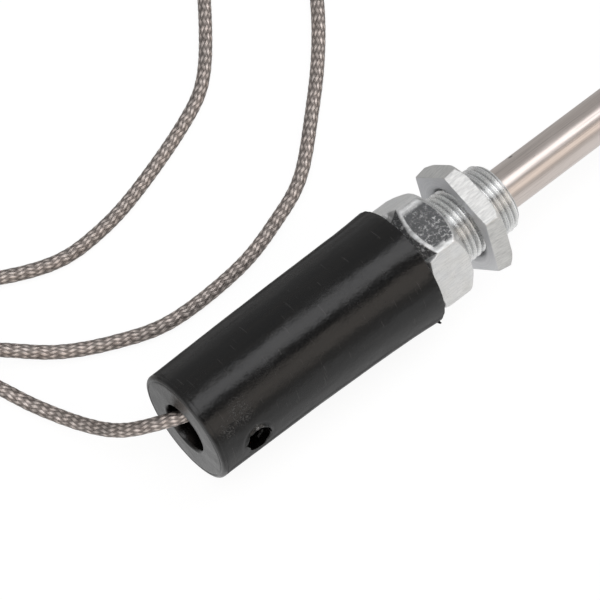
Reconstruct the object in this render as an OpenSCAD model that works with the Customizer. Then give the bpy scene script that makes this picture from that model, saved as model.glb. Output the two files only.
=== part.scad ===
// Flame sensor probe: a threaded steel gland with a stainless sheath and a
// ceramic-insulated electrode, a black moulded boot over the terminal, a thin
// lock nut on the thread, and a stainless-braided lead with a push-on terminal.
//
// Frame: +X runs along the probe towards the electrode tip, +Z is up, and the
// probe lies on its side on the plane z = 0. The origin is under the middle of
// the probe. Every length below is in millimetres.

/* [Boot] */
// Length of the moulded boot
boot_len = 60; // [55:0.5:65]
// Outer radius of the boot at its closed rear end
boot_r_rear = 13; // [12.6:0.1:13.4]
// Outer radius of the boot where the front flare starts
boot_r_front = 13.9; // [13.6:0.1:14]
// Outer radius of the flared front lip
boot_r_lip = 14.3; // [14.3:0.1:15]
// Thickness of the rear wall that the lead comes out of
boot_rear_wall = 5; // [4:0.5:6]
// Radius of the lead hole in the rear wall
lead_hole_r = 5.8; // [5.4:0.1:6.4]
// Radius of the small hole in the side wall
side_hole_r = 3; // [2:0.1:3.2]
// Distance of the side hole from the rear face
side_hole_at = 9.8; // [9:0.1:12]
// Angle of the side hole, from straight up towards -Y
side_hole_angle = 80; // [60:1:90]

/* [Gland] */
// Radius of the round collar that the boot is pushed over
collar_r = 10.5; // [10.2:0.05:10.6]
// Length of the collar inside the boot
collar_len = 16; // [14:0.5:18]
// Width of the gland hexagon across its flats
hex_af = 24; // [23.5:0.1:24.5]
// Length of the gland hexagon with its chamfers
hex_len = 10.1; // [9:0.1:11]
// Angle of one corner of the hexagon, from straight up towards -Y
hex_angle = 32; // [0:1:59]
// Major radius of the stem thread (G 3/8)
thread_r = 8.33; // [8:0.01:8.4]
// Length of the threaded stem
stem_len = 16.9; // [15:0.1:20]

/* [Lock nut] */
// Distance from the hexagon's front face to the nut
nut_gap = 5.6; // [1:0.1:9]
// Thickness of the lock nut
nut_t = 4.2; // [3.5:0.1:5]
// Width across flats at the nut's rear face
nut_af_rear = 24; // [23.5:0.1:24.2]
// Width across flats at the nut's front face
nut_af_front = 25.2; // [24.6:0.1:25.4]
// Angle of one corner of the nut, from straight up towards -Y
nut_angle = 38; // [36:1:40]

/* [Sheath and electrode] */
// Outer radius of the stainless sheath
sheath_r = 5; // [4.8:0.05:5.1]
// Wall thickness of the sheath
sheath_wall = 0.8; // [0.5:0.05:0.8]
// Length of sheath in front of the thread
sheath_out = 90; // [60:1:150]
// Radius of the electrode rod
rod_r = 1.5; // [1.2:0.05:1.5]
// Length of rod in front of the ceramic nose
rod_out = 23; // [10:1:40]

/* [Lead] */
// Diameter of the braided lead
lead_d = 3.2; // [3:0.1:3.2]

/* [Hidden] */
$fn = 96;

axis_z = boot_r_lip;                       // height of the probe's axis
s_hex = boot_len + 0.2;                    // stations along the probe, from the
s_face = s_hex + hex_len;                  // boot's rear face
s_stem = s_face + stem_len;
s_nut = s_face + nut_gap;
s_relief = s_nut + nut_t - 0.1;            // the ring groove in the stem
s_sheath = s_stem + sheath_out;
nose_len = 6;
s_tip = s_sheath + nose_len + rod_out;     // the electrode's tip
x_rear = -s_tip / 2;                       // x of the boot's rear face
clear = 0.05;                              // running clearance, radial
counter_r = 8.9;                           // gland's rear counterbore
spigot_r = sheath_r - 0.2;                 // the sheath's turned-down rear end
s_counter = s_hex - 0.4;                   // its floor
lead_r = lead_d / 2;

// ---- helpers -------------------------------------------------------------
// turns a profile drawn as [station, radius] into a solid about the probe axis
module turned(points, fn = 96) {
    translate([x_rear, 0, axis_z]) rotate([90, 0, 90])
        rotate_extrude($fn = fn) polygon([for (p = points) [p[1], p[0]]]);
}
// a cylinder along the probe axis between two stations
module rod(s0, s1, r, fn = 96) {
    translate([x_rear + s0, 0, axis_z]) rotate([0, 90, 0])
        cylinder(h = s1 - s0, r = r, $fn = fn);
}
// a tube along the probe axis
module pipe(s0, s1, ro, ri, fn = 96) {
    difference() {
        rod(s0, s1, ro, fn);
        rod(s0 - 1, s1 + 1, ri, fn);
    }
}
// moves children from a local +Z axis to a radial direction at a station; the
// angle runs from straight up towards -Y
module radial(s, angle) {
    translate([x_rear + s, 0, axis_z]) rotate([angle, 0, 0]) children();
}
// points of a quarter arc from angle a0 to a1 about [cs, cr], as [station, radius]
function arc(cs, cr, r, a0, a1, n = 6) =
    [for (i = [0:n]) let (a = a0 + (a1 - a0) * i / n) [cs + r * cos(a), cr + r * sin(a)]];

// ---- boot ----------------------------------------------------------------
boot_fillet = 0.9;
module boot() {
    color([0.13, 0.13, 0.14]) difference() {
        turned(concat(
            [[0, lead_hole_r + 0.8]],
            arc(boot_fillet, boot_r_rear - boot_fillet, boot_fillet, 180, 90),
            [[boot_len - 14, boot_r_front],
             [boot_len - 5, boot_r_lip - 0.15]],
            arc(boot_len - 0.6, boot_r_lip - 0.6, 0.6, 90, 0, 4),
            [[boot_len, collar_r + 1.1],
             [boot_len - 1, collar_r + clear],
             [boot_len - collar_len - 3, collar_r + clear],
             [boot_len - collar_len - 4, collar_r - 0.7],
             [boot_rear_wall + 1, collar_r - 0.9],
             [boot_rear_wall, collar_r - 1.9],
             [boot_rear_wall, lead_hole_r],
             [0.8, lead_hole_r]]), 128);
        radial(side_hole_at, side_hole_angle)
            translate([0, 0, 6]) cylinder(h = 12, r = side_hole_r, $fn = 48);
    }
}

// ---- gland ---------------------------------------------------------------
hex_cr = hex_af / sqrt(3);
module gland_body() {
    color([0.78, 0.79, 0.8]) difference() {
        union() {
            // the collar inside the boot, with a lead-in at its rear end
            turned([[s_hex - collar_len, 0], [s_hex - collar_len, collar_r - 0.8],
                    [s_hex - collar_len + 0.8, collar_r], [s_hex + 1, collar_r],
                    [s_hex + 1, 0]]);
            // the hexagon, chamfered at both ends
            intersection() {
                translate([x_rear + s_hex, 0, axis_z]) rotate([hex_angle, 0, 0])
                    rotate([0, 90, 0]) rotate([0, 0, 0])
                        cylinder(h = hex_len, r = hex_cr, $fn = 6);
                turned([[s_hex, 0], [s_hex, collar_r + 0.2],
                        [s_hex + 2.2, hex_cr + 0.05], [s_face - 2.6, hex_cr + 0.05],
                        [s_face - 1.1, hex_cr - 0.95], [s_face, 11.7], [s_face, 0]]);
            }
            // the stem at the thread's major radius, with a chamfered end
            // and a ring groove as deep as the thread where the nut's face stands
            turned([[s_face - 1, 0], [s_face - 1, thread_r], [s_relief, thread_r],
                    [s_relief, thread_r - 0.6], [s_relief + 0.5, thread_r - 0.6],
                    [s_relief + 0.5, thread_r], [s_stem - 1, thread_r],
                    [s_stem, thread_r - 0.9], [s_stem, 0]]);
        }
        rod(s_hex - collar_len - 1, s_counter, counter_r);
        rod(s_counter - 1, s_stem + 1, spigot_r + 0.02);
    }
}

// ---- lock nut: flats that lean out towards the front, flat rear face ------
module lock_nut() {
    lean = atan((nut_af_front - nut_af_rear) / 2 / nut_t);
    cr = nut_af_front / sqrt(3);
    color([0.8, 0.8, 0.79]) difference() {
        intersection() {
            translate([x_rear + s_nut, 0, axis_z]) rotate([nut_angle, 0, 0])
                rotate([0, 90, 0]) difference() {
                    cylinder(h = nut_t, r = cr, $fn = 6);
                    for (k = [0:5]) rotate([0, 0, 30 + 60 * k])
                        translate([nut_af_rear / 2, -20, 0]) rotate([0, lean, 0])
                            translate([0, 0, -5]) cube([10, 40, 20]);
                }
            turned([[s_nut, 0], [s_nut, cr], [s_nut + nut_t - 1.3, cr + 0.05],
                    [s_nut + nut_t, 13.1], [s_nut + nut_t, 0]]);
        }
        rod(s_nut - 1, s_nut + nut_t + 1, thread_r + clear);
        turned([[s_nut - 1, 0], [s_nut - 1, thread_r + 1.8], [s_nut + 0.8, thread_r],
                [s_nut + 0.8, 0]]);
        turned([[s_nut + nut_t + 1, 0], [s_nut + nut_t + 1, thread_r + 1.6],
                [s_nut + nut_t - 0.6, thread_r], [s_nut + nut_t - 0.6, 0]]);
    }
}

// ---- sheath, electrode and ceramics ---------------------------------------
module sheath_tube() {
    color([0.72, 0.69, 0.67]) difference() {
        turned([[s_counter, 0], [s_counter, spigot_r], [s_stem + 0.5, spigot_r],
                [s_stem + 0.5, sheath_r], [s_sheath, sheath_r], [s_sheath, 0]]);
        rod(s_counter - 1, s_sheath + 1, sheath_r - sheath_wall);
    }
}
module electrode_rod() {
    color([0.55, 0.53, 0.5])
        turned(concat([[35, 0], [35, rod_r]],
            arc(s_tip - rod_r, 0, rod_r, 90, 0, 5)), 48);
}
core_r = sheath_r - sheath_wall - 0.05;
module core_insulator() {
    color([0.93, 0.91, 0.86]) pipe(s_counter + 0.1, s_sheath - 5.2, core_r, rod_r + 0.05, 64);
}
module nose_insulator() {
    color([0.95, 0.93, 0.88])
        turned(concat(
            [[s_sheath - 5, rod_r + 0.05], [s_sheath - 5, core_r],
             [s_sheath + 0.05, core_r], [s_sheath + 0.05, spigot_r]],
            arc(s_sheath + 2.5, spigot_r - 3.1, 3.1, 90, 10),
            [[s_sheath + nose_len, rod_r + 0.05]]), 64);
}
module rear_insulator() {
    color([0.95, 0.93, 0.88])
        turned([[44, rod_r + 0.05], [44, 4.4], [52.5, 4.5], [52.5, counter_r - 0.1],
                [s_counter - 0.8, counter_r - 0.1], [s_counter - 0.8, rod_r + 0.05]], 64);
}
module seal_washer() {
    color([0.72, 0.45, 0.28]) pipe(s_counter - 0.75, s_counter - 0.05, counter_r - 0.2, 5.2, 64);
}
module retaining_ring() {
    color([0.75, 0.76, 0.77]) difference() {
        pipe(46.5, 52.4, counter_r - 0.03, 4.9, 64);
        for (a = [0, 90]) radial(46.4, a)
            translate([0, 0, 0]) rotate([0, 90, 0]) translate([-1.1, -10, 0])
                cube([2.2, 20, 1.6]);
    }
}

// ---- terminal -------------------------------------------------------------
barrel_s = [22, 42];
screw_s = [27, 38];
module terminal_barrel() {
    color([0.8, 0.66, 0.32]) difference() {
        rod(barrel_s[0], barrel_s[1], 3.5, 64);
        rod(34.9, barrel_s[1] + 1, rod_r + 0.03, 48);
        rod(barrel_s[0] - 1, 33, 0.6, 32);
        for (s = screw_s) radial(s, 0) cylinder(h = 5, r = 1.25, $fn = 32);
    }
}
module terminal_screws() {
    color([0.6, 0.6, 0.62]) {
        radial(screw_s[0], 0) difference() {
            translate([0, 0, 0.65]) cylinder(h = 2.65, r = 1.22, $fn = 32);
            translate([-2, -0.2, 2.7]) cube([4, 0.4, 1]);
        }
        radial(screw_s[1], 0) difference() {
            translate([0, 0, rod_r + 0.05]) cylinder(h = 1.8, r = 1.22, $fn = 32);
            translate([-2, -0.2, 2.75]) cube([4, 0.4, 1]);
        }
    }
}
module insulating_sleeve() {
    color([0.86, 0.84, 0.78]) pipe(20.5, 43.9, 4.7, 3.6, 64);
}
module lead_conductor() {
    color([0.78, 0.42, 0.25]) rod(13.1, 32.5, 0.55, 32);
}
module lead_insulation() {
    color([0.9, 0.9, 0.88]) pipe(13.1, 21.9, 1.1, 0.56, 32);
}
module braid_ferrule() {
    color([0.7, 0.7, 0.7]) pipe(9.2, 13.3, lead_r + 0.55, lead_r, 48);
}

// ---- lead: one braided cord from the terminal to the coil ------------------
// The route's points, as [x, y, z] with x from the boot's rear face.
route = [
    [13, 0, 14.3], [10, 0, 14.3], [5, 1.4, 14.1], [0, 3.6, 13.2],
    [-4.2, 6.4, 11.3], [-7.5, 9.3, 8.9], [-10.1, 13, 6.5], [-12.1, 17.2, 4.5], [-14, 21.6, 3],
    [-15.9, 26.2, 2.1], [-18, 31.2, 1.7], [-20.5, 38.2, 1.6],
    [-26, 52, 1.6], [-33, 70, 1.6], [-38, 92, 1.6], [-36, 117, 1.6], [-26, 138, 1.6],
    [-9, 154, 1.6], [14, 161.5, 1.6], [40, 160.5, 1.6], [65, 153, 1.6], [87, 138, 1.6],
    [102, 119, 1.6], [108, 101, 1.6], [105, 84, 1.6], [95.4, 69.1, 1.6], [85.7, 57.4, 1.6], [74.7, 46.7, 1.6], [62.3, 36, 1.6],
    [51.5, 31.2, 1.6], [37.5, 27.3, 1.6], [18.1, 26.6, 1.6], [5.4, 30.6, 1.6],
    [-5.8, 36.4, 2.2], [-15.3, 44.1, 3.8], [-25, 51.5, 5], [-36, 62, 3.6], [-43, 76, 2],
    [-47, 98, 1.6], [-45, 117, 1.8], [-36, 134, 3.4], [-20, 144.8, 5], [-4, 149.2, 3.4],
    [15, 151.5, 1.6], [36, 150, 1.6], [57, 143.5, 1.6], [75, 132, 1.6], [86, 117, 1.6],
    [86, 101, 1.6], [75.8, 85.6, 1.6], [62.7, 70, 1.6], [51.4, 63.3, 1.6], [31.5, 56.3, 1.6],
    [18.8, 53.8, 1.6], [8.1, 54, 1.6], [-3.8, 58.9, 1.6], [-14, 66, 1.6],
    [-22, 77, 1.6], [-26.5, 91, 1.6], [-27.3, 103, 2.1], [-27.2, 110, 2.2]
];
coil_c = [-5, 110];                       // centre of the coil, x from the rear face
coil_mid = 19;                            // middle radius of the coil's turns
coil_z = 0.55;                            // the coil lies on its ties
tail_route = [[-5, 132.2, 5.6], [0, 132.3, 5.5], [5, 132, 4.7], [10, 131.2, 3.4],
    [15, 130.1, 2.5], [20, 128.6, 2.3], [25.2, 126.8, 2.3]];

function cat(p0, p1, p2, p3, t) =          // a smooth curve through the points
    0.5 * (2 * p1 + (p2 - p0) * t + (2 * p0 - 5 * p1 + 4 * p2 - p3) * t * t
        + (3 * p1 - p0 - 3 * p2 + p3) * t * t * t);
function at(r, i) = r[max(0, min(len(r) - 1, i))];
function smooth(r, step) = concat(
    [for (i = [0:len(r) - 2])
        let (n = max(1, round(norm(r[i + 1] - r[i]) / step)))
        for (k = [0:n - 1]) cat(at(r, i - 1), r[i], r[i + 1], at(r, i + 2), k / n)],
    [r[len(r) - 1]]);
function unit(v) = v / norm(v);
function tangent(p, i) = unit(at(p, i + 1) - at(p, i - 1));
function ring(p, t, r, n) =                // n points round the route at p
    let (side = unit(cross(t, [0, 0, 1])), up = cross(side, t))
    [for (k = [0:n - 1]) let (a = 360 * (k + 0.5) / n) p + r * (cos(a) * side + sin(a) * up)];
module swept(points, r, n = 8) {
    m = len(points);
    pts = [for (i = [0:m - 1]) each ring(points[i], tangent(points, i), r, n)];
    polyhedron(points = pts, faces = concat(
        [[for (k = [0:n - 1]) k]],
        [for (i = [0:m - 2]) for (k = [0:n - 1])
            [i * n + k, (i + 1) * n + k, (i + 1) * n + (k + 1) % n, i * n + (k + 1) % n]],
        [[for (k = [n - 1:-1:0]) (m - 1) * n + k]]), convexity = 10);
}
module lead_cable() {
    color([0.55, 0.51, 0.48]) translate([x_rear, 0, 0])
        swept(smooth(route, 13), lead_r, 8);
}
module lead_coil() {
    color([0.55, 0.51, 0.48]) translate([x_rear + coil_c[0], coil_c[1], coil_z])
        rotate_extrude($fn = 96) translate([coil_mid, 0])
            offset(r = 1.2, $fn = 24) translate([-1.5 * lead_d + 1.2, 1.2])
                square([3 * lead_d - 2.4, 2 * lead_d - 2.4]);
}
module lead_tail() {
    color([0.55, 0.51, 0.48]) translate([x_rear, 0, 0])
        swept(smooth(tail_route, 7), lead_r, 8);
}
module coil_ties() {
    color([0.1, 0.1, 0.1]) translate([x_rear + coil_c[0], coil_c[1], 0])
        for (a = [10, 250]) rotate([0, 0, a]) translate([coil_mid, 0, 0]) difference() {
            translate([-1.5 * lead_d - 0.8, -1.2, 0])
                cube([3 * lead_d + 1.6, 2.4, 2 * lead_d + coil_z + 0.8]);
            translate([-1.5 * lead_d - 0.02, -2, coil_z - 0.02])
                cube([3 * lead_d + 0.04, 4, 2 * lead_d + 0.04]);
        }
}

// ---- the lead's far end -----------------------------------------------------
end_p = tail_route[6];                     // end of the braided cord
end_a = -19;                               // heading of the end pieces
module along_end(d) {
    translate([x_rear + end_p[0], end_p[1], end_p[2]]) rotate([0, 0, end_a])
        translate([d, 0, 0]) rotate([0, 90, 0]) children();
}
module braid_end_sleeve() {
    color([0.09, 0.09, 0.1]) along_end(-4) difference() {
        cylinder(h = 12, r = 2.25, $fn = 48);
        translate([0, 0, -1]) cylinder(h = 5, r = lead_r + 0.02, $fn = 48);
        translate([0, 0, 3.9]) cylinder(h = 9, r = 1.1, $fn = 48);
    }
}
module tail_wire() {
    color([0.9, 0.9, 0.88]) along_end(0.2) cylinder(h = 26, r = 1.05, $fn = 32);
}
module push_on_terminal() {
    color([0.82, 0.8, 0.74]) along_end(22.4) {
        // crimp barrel round the wire
        difference() {
            cylinder(h = 5, r = 1.6, $fn = 32);
            translate([0, 0, -1]) cylinder(h = 5.2, r = 1.08, $fn = 32);
        }
        // neck and flat receptacle with rolled edges
        translate([-0.45, -1.5, 4.6]) cube([0.9, 3, 2.6]);
        difference() {
            translate([-1.3, -3.6, 7]) cube([2.6, 7.2, 7.6]);
            translate([-0.5, -3.2, 7.8]) cube([1, 6.4, 9]);
            translate([-2, -1.3, 7.8]) cube([1.6, 2.6, 9]);
        }
    }
}
module terminal_cover() {
    color([0.16, 0.16, 0.17]) along_end(20) difference() {
        union() {
            hull() {
                translate([-1.95, -4.3, 6.5]) cube([3.9, 8.6, 11]);
                translate([0, 0, 2]) cylinder(h = 1, r = 2.15, $fn = 32);
            }
            cylinder(h = 3, r = 2.15, $fn = 32);
        }
        translate([-1.35, -3.65, 9]) cube([2.7, 7.3, 10]);
        translate([0, 0, -1]) cylinder(h = 3.4, r = 1.07, $fn = 32);
        translate([0, 0, 2.3]) cylinder(h = 7, r = 1.65, $fn = 32);
    }
}

boot();
gland_body();
lock_nut();
sheath_tube();
core_insulator();
nose_insulator();
rear_insulator();
seal_washer();
retaining_ring();
electrode_rod();
terminal_barrel();
terminal_screws();
insulating_sleeve();
lead_conductor();
lead_insulation();
braid_ferrule();
lead_cable();
lead_coil();
lead_tail();
coil_ties();
braid_end_sleeve();
tail_wire();
push_on_terminal();
terminal_cover();
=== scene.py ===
"""Looks of a flame sensor probe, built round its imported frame.

Lengths in the builders are millimetres: S is the station along the probe from
the boot's rear face, R the radius about the probe's axis, and A the angle from
straight up towards -Y. mm() turns them into the row frame, in metres.
"""

import math

import bmesh
import bpy
import numpy as np
from mathutils import Matrix, Vector


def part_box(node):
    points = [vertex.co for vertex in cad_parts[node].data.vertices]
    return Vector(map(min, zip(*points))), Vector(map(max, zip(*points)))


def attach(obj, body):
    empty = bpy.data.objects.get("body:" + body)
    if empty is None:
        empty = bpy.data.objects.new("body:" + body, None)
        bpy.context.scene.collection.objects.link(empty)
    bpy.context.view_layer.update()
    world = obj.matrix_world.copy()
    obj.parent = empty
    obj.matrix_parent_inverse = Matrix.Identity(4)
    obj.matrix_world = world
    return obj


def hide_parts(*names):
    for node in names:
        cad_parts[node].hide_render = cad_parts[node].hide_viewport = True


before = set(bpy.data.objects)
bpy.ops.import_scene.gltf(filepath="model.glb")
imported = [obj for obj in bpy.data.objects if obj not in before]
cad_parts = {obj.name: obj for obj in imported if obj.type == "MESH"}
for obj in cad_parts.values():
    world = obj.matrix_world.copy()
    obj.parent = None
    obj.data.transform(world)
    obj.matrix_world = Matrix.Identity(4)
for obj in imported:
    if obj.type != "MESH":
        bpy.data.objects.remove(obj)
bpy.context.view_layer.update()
MM = 0.001
b_lo, b_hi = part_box("boot")
X0 = b_lo.x / MM
AZ = (b_lo.z + b_hi.z) / 2 / MM


def span(node):
    lo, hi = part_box(node)
    return lo.x / MM - X0, hi.x / MM - X0


S_BOOT = span("boot")[1]
S_STEM = span("gland_body")[1]
S_NUT, S_NUT1 = span("lock_nut")
S_SHEATH = span("sheath_tube")[1]
S_TIP = span("electrode_rod")[1]
S_NOSE = span("nose_insulator")[1]
S_HEX = 60.2
S_FACE = 70.3

# ---------------------------------------------------------------- camera
# The view leans 62 degrees down and looks 41 degrees off the probe's side.


def make_camera():
    e, az, roll = math.radians(62.0), math.radians(-41.0), math.radians(0.80)
    dist = 740.0
    focal = dist / 0.2112
    fh = np.array([-math.sin(az), math.cos(az), 0.0])
    r = np.array([math.cos(az), math.sin(az), 0.0])
    f = fh * math.cos(e) + np.array([0, 0, -math.sin(e)])
    u = np.cross(r, f)
    r2 = r * math.cos(roll) + u * math.sin(roll)
    u2 = -r * math.sin(roll) + u * math.cos(roll)
    dx = (294.1 - 300) * dist / focal
    dy = -(346.3 - 300) * dist / focal
    c = np.array([X0 + 30.0, 0.0, AZ]) - f * dist - r2 * dx - u2 * dy
    cam = bpy.data.objects.new("camera", bpy.data.cameras.new("camera"))
    bpy.context.scene.collection.objects.link(cam)
    cam.data.sensor_width = 36.0
    cam.data.lens = 36.0 * focal / 600.0
    cam.data.clip_start, cam.data.clip_end = 0.01, 50.0
    cam.data.dof.use_dof = False
    m = Matrix.Identity(4)
    for i in range(3):
        m[i][0], m[i][1], m[i][2], m[i][3] = r2[i], u2[i], -f[i], c[i] * MM
    cam.matrix_world = m
    bpy.context.scene.camera = cam
    return cam


make_camera()

# ---------------------------------------------------------------- helpers


def noise3(p, seed=0):
    """Smooth noise in -1..1 at points (N, 3), the same on every run."""
    p = np.asarray(p, float)
    i = np.floor(p).astype(np.int64)
    f = p - i
    f = f * f * (3 - 2 * f)

    def h(dx, dy, dz):
        n = (
            ((i[:, 0] + dx) * 73856093)
            ^ ((i[:, 1] + dy) * 19349663)
            ^ ((i[:, 2] + dz) * 83492791)
            ^ (seed * 2654435)
        )
        n = (n ^ (n >> 13)) & 0x7FFFFFFF
        n = (n * 1274126177) & 0x7FFFFFFF
        n = n ^ (n >> 15)
        return (n & 0xFFFF) / 32767.5 - 1.0

    x, y, z = f.T
    c00 = h(0, 0, 0) * (1 - x) + h(1, 0, 0) * x
    c10 = h(0, 1, 0) * (1 - x) + h(1, 1, 0) * x
    c01 = h(0, 0, 1) * (1 - x) + h(1, 0, 1) * x
    c11 = h(0, 1, 1) * (1 - x) + h(1, 1, 1) * x
    return (c00 * (1 - y) + c10 * y) * (1 - z) + (c01 * (1 - y) + c11 * y) * z


def fbm(p, octaves=3, seed=0):
    v, amp, tot = 0.0, 1.0, 0.0
    for k in range(octaves):
        v = v + amp * noise3(np.asarray(p) * 2**k, seed + 17 * k)
        tot += amp
        amp *= 0.5
    return v / tot


def mm(s, r, a):
    """Row-frame metres of a point at station s, radius r and angle a (radians)."""
    s, r, a = np.broadcast_arrays(
        np.asarray(s, float), np.asarray(r, float), np.asarray(a, float)
    )
    return np.stack([X0 + s, -r * np.sin(a), AZ + r * np.cos(a)], -1) * MM


def new_mesh(name, verts, faces, material, body, uvs=None, smooth=True, weighted=False):
    """A mesh object that rides on a body. verts is (N, 3) in metres."""
    me = bpy.data.meshes.new(name)
    me.from_pydata([], [], [])
    verts = np.asarray(verts, np.float32)
    faces = [tuple(int(i) for i in f) for f in faces] if not isinstance(faces, np.ndarray) else faces
    if isinstance(faces, np.ndarray):
        n, k = faces.shape
        me.vertices.add(len(verts))
        me.vertices.foreach_set("co", verts.ravel())
        me.loops.add(n * k)
        me.loops.foreach_set("vertex_index", faces.astype(np.int32).ravel())
        me.polygons.add(n)
        me.polygons.foreach_set("loop_start", np.arange(0, n * k, k, dtype=np.int32))
        me.polygons.foreach_set("loop_total", np.full(n, k, np.int32))
        me.update(calc_edges=True)
        me.validate()
    else:
        me.from_pydata([tuple(v) for v in verts.tolist()], [], faces)
        me.validate()
        me.update()
    if uvs is not None:
        layer = me.uv_layers.new(name="weave")
        layer.data.foreach_set("uv", np.asarray(uvs, np.float32).ravel())
    me.polygons.foreach_set("use_smooth", np.full(len(me.polygons), smooth))
    o = bpy.data.objects.new(name, me)
    bpy.context.scene.collection.objects.link(o)
    if material is not None:
        me.materials.append(material)
    if weighted:
        m = o.modifiers.new("normals", "WEIGHTED_NORMAL")
        m.mode = "FACE_AREA"
        m.weight = 60
    if body:
        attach(o, body)
    return o


def outward(o):
    """Points a closed mesh's faces outwards."""
    bm = bmesh.new()
    bm.from_mesh(o.data)
    bmesh.ops.recalc_face_normals(bm, faces=bm.faces)
    bm.to_mesh(o.data)
    bm.free()
    return o


def fillet(points, n=4):
    """Rounds the corners of an open polyline of (x, y, radius)."""
    out = []
    m = len(points)
    for i, p in enumerate(points):
        x, y = p[0], p[1]
        r = p[2] if len(p) > 2 else 0.0
        if i in (0, m - 1) or r <= 0:
            out.append((x, y))
            continue
        a = np.array(points[i - 1][:2], float) - (x, y)
        b = np.array(points[i + 1][:2], float) - (x, y)
        la, lb = np.linalg.norm(a), np.linalg.norm(b)
        a, b = a / la, b / lb
        c = float(np.clip(a @ b, -1, 1))
        half = math.acos(c) / 2
        if half > math.pi / 2 - 0.02:
            out.append((x, y))
            continue
        d = min(r / math.tan(half), la * 0.48, lb * 0.48)
        rr = d * math.tan(half)
        centre = np.array([x, y]) + (a + b) / np.linalg.norm(a + b) * rr / math.sin(half)
        p0, p1 = np.array([x, y]) + a * d, np.array([x, y]) + b * d
        t0 = math.atan2(*(p0 - centre)[::-1])
        t1 = math.atan2(*(p1 - centre)[::-1])
        dt = (t1 - t0 + math.pi) % (2 * math.pi) - math.pi
        for k in range(n + 1):
            t = t0 + dt * k / n
            out.append((centre[0] + rr * math.cos(t), centre[1] + rr * math.sin(t)))
    return out


def dense(points, step):
    """Adds points so that no stretch of the polyline is longer than step."""
    out = [points[0]]
    for p, q in zip(points, points[1:]):
        n = max(1, int(math.ceil(math.dist(p[:2], q[:2]) / step)))
        for k in range(1, n + 1):
            out.append((p[0] + (q[0] - p[0]) * k / n, p[1] + (q[1] - p[1]) * k / n))
    return out


def grid_faces(rows, cols, wrap_rows=False):
    """Quads of a grid of rows x cols that closes round its columns."""
    r = np.arange(rows if wrap_rows else rows - 1)
    c = np.arange(cols)
    rr, cc = np.meshgrid(r, c, indexing="ij")
    r2, c2 = (rr + 1) % rows, (cc + 1) % cols
    return np.stack(
        [rr * cols + cc, rr * cols + c2, r2 * cols + c2, r2 * cols + cc], -1
    ).reshape(-1, 4)


def lathe(name, profile, material, body, cols=128, shape=None, closed=False, weighted=True, place=mm):
    """Turns a profile of (s, r) about the probe's axis. Ends at radius 0 close in
    a pole; closed=True joins the profile's end to its start. shape(s, a, r, i)
    may move the radius."""
    prof = np.array(profile, float)
    if isinstance(cols, int):
        ang = np.arange(cols) * 2 * math.pi / cols
    else:
        ang = np.asarray(cols)
    n = len(ang)
    pole0 = (not closed) and prof[0, 1] < 1e-6
    pole1 = (not closed) and prof[-1, 1] < 1e-6
    body_rows = prof[(1 if pole0 else 0) : (len(prof) - 1 if pole1 else len(prof))]
    s = np.repeat(body_rows[:, 0], n).reshape(-1, n)
    r = np.repeat(body_rows[:, 1], n).reshape(-1, n)
    a = np.tile(ang, (len(body_rows), 1))
    idx = np.arange(len(body_rows))[:, None] + (1 if pole0 else 0)
    if shape is not None:
        s, r = shape(s, a, r, idx)
    v = place(s, r, a).reshape(-1, 3)
    f = grid_faces(len(body_rows), n, closed)
    faces = [tuple(q) for q in f.tolist()]
    if pole0:
        v = np.vstack([v, place(prof[0, 0], 0.0, 0.0).reshape(1, 3)])
        k = len(v) - 1
        faces += [(k, (c + 1) % n, c) for c in range(n)]
    if pole1:
        v = np.vstack([v, place(prof[-1, 0], 0.0, 0.0).reshape(1, 3)])
        k = len(v) - 1
        base = (len(body_rows) - 1) * n
        faces += [(k, base + c, base + (c + 1) % n) for c in range(n)]
    o = new_mesh(name, v, faces, material, None, weighted=weighted)
    outward(o)
    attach(o, body)
    return o


# ---------------------------------------------------------------- shader helpers


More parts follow.
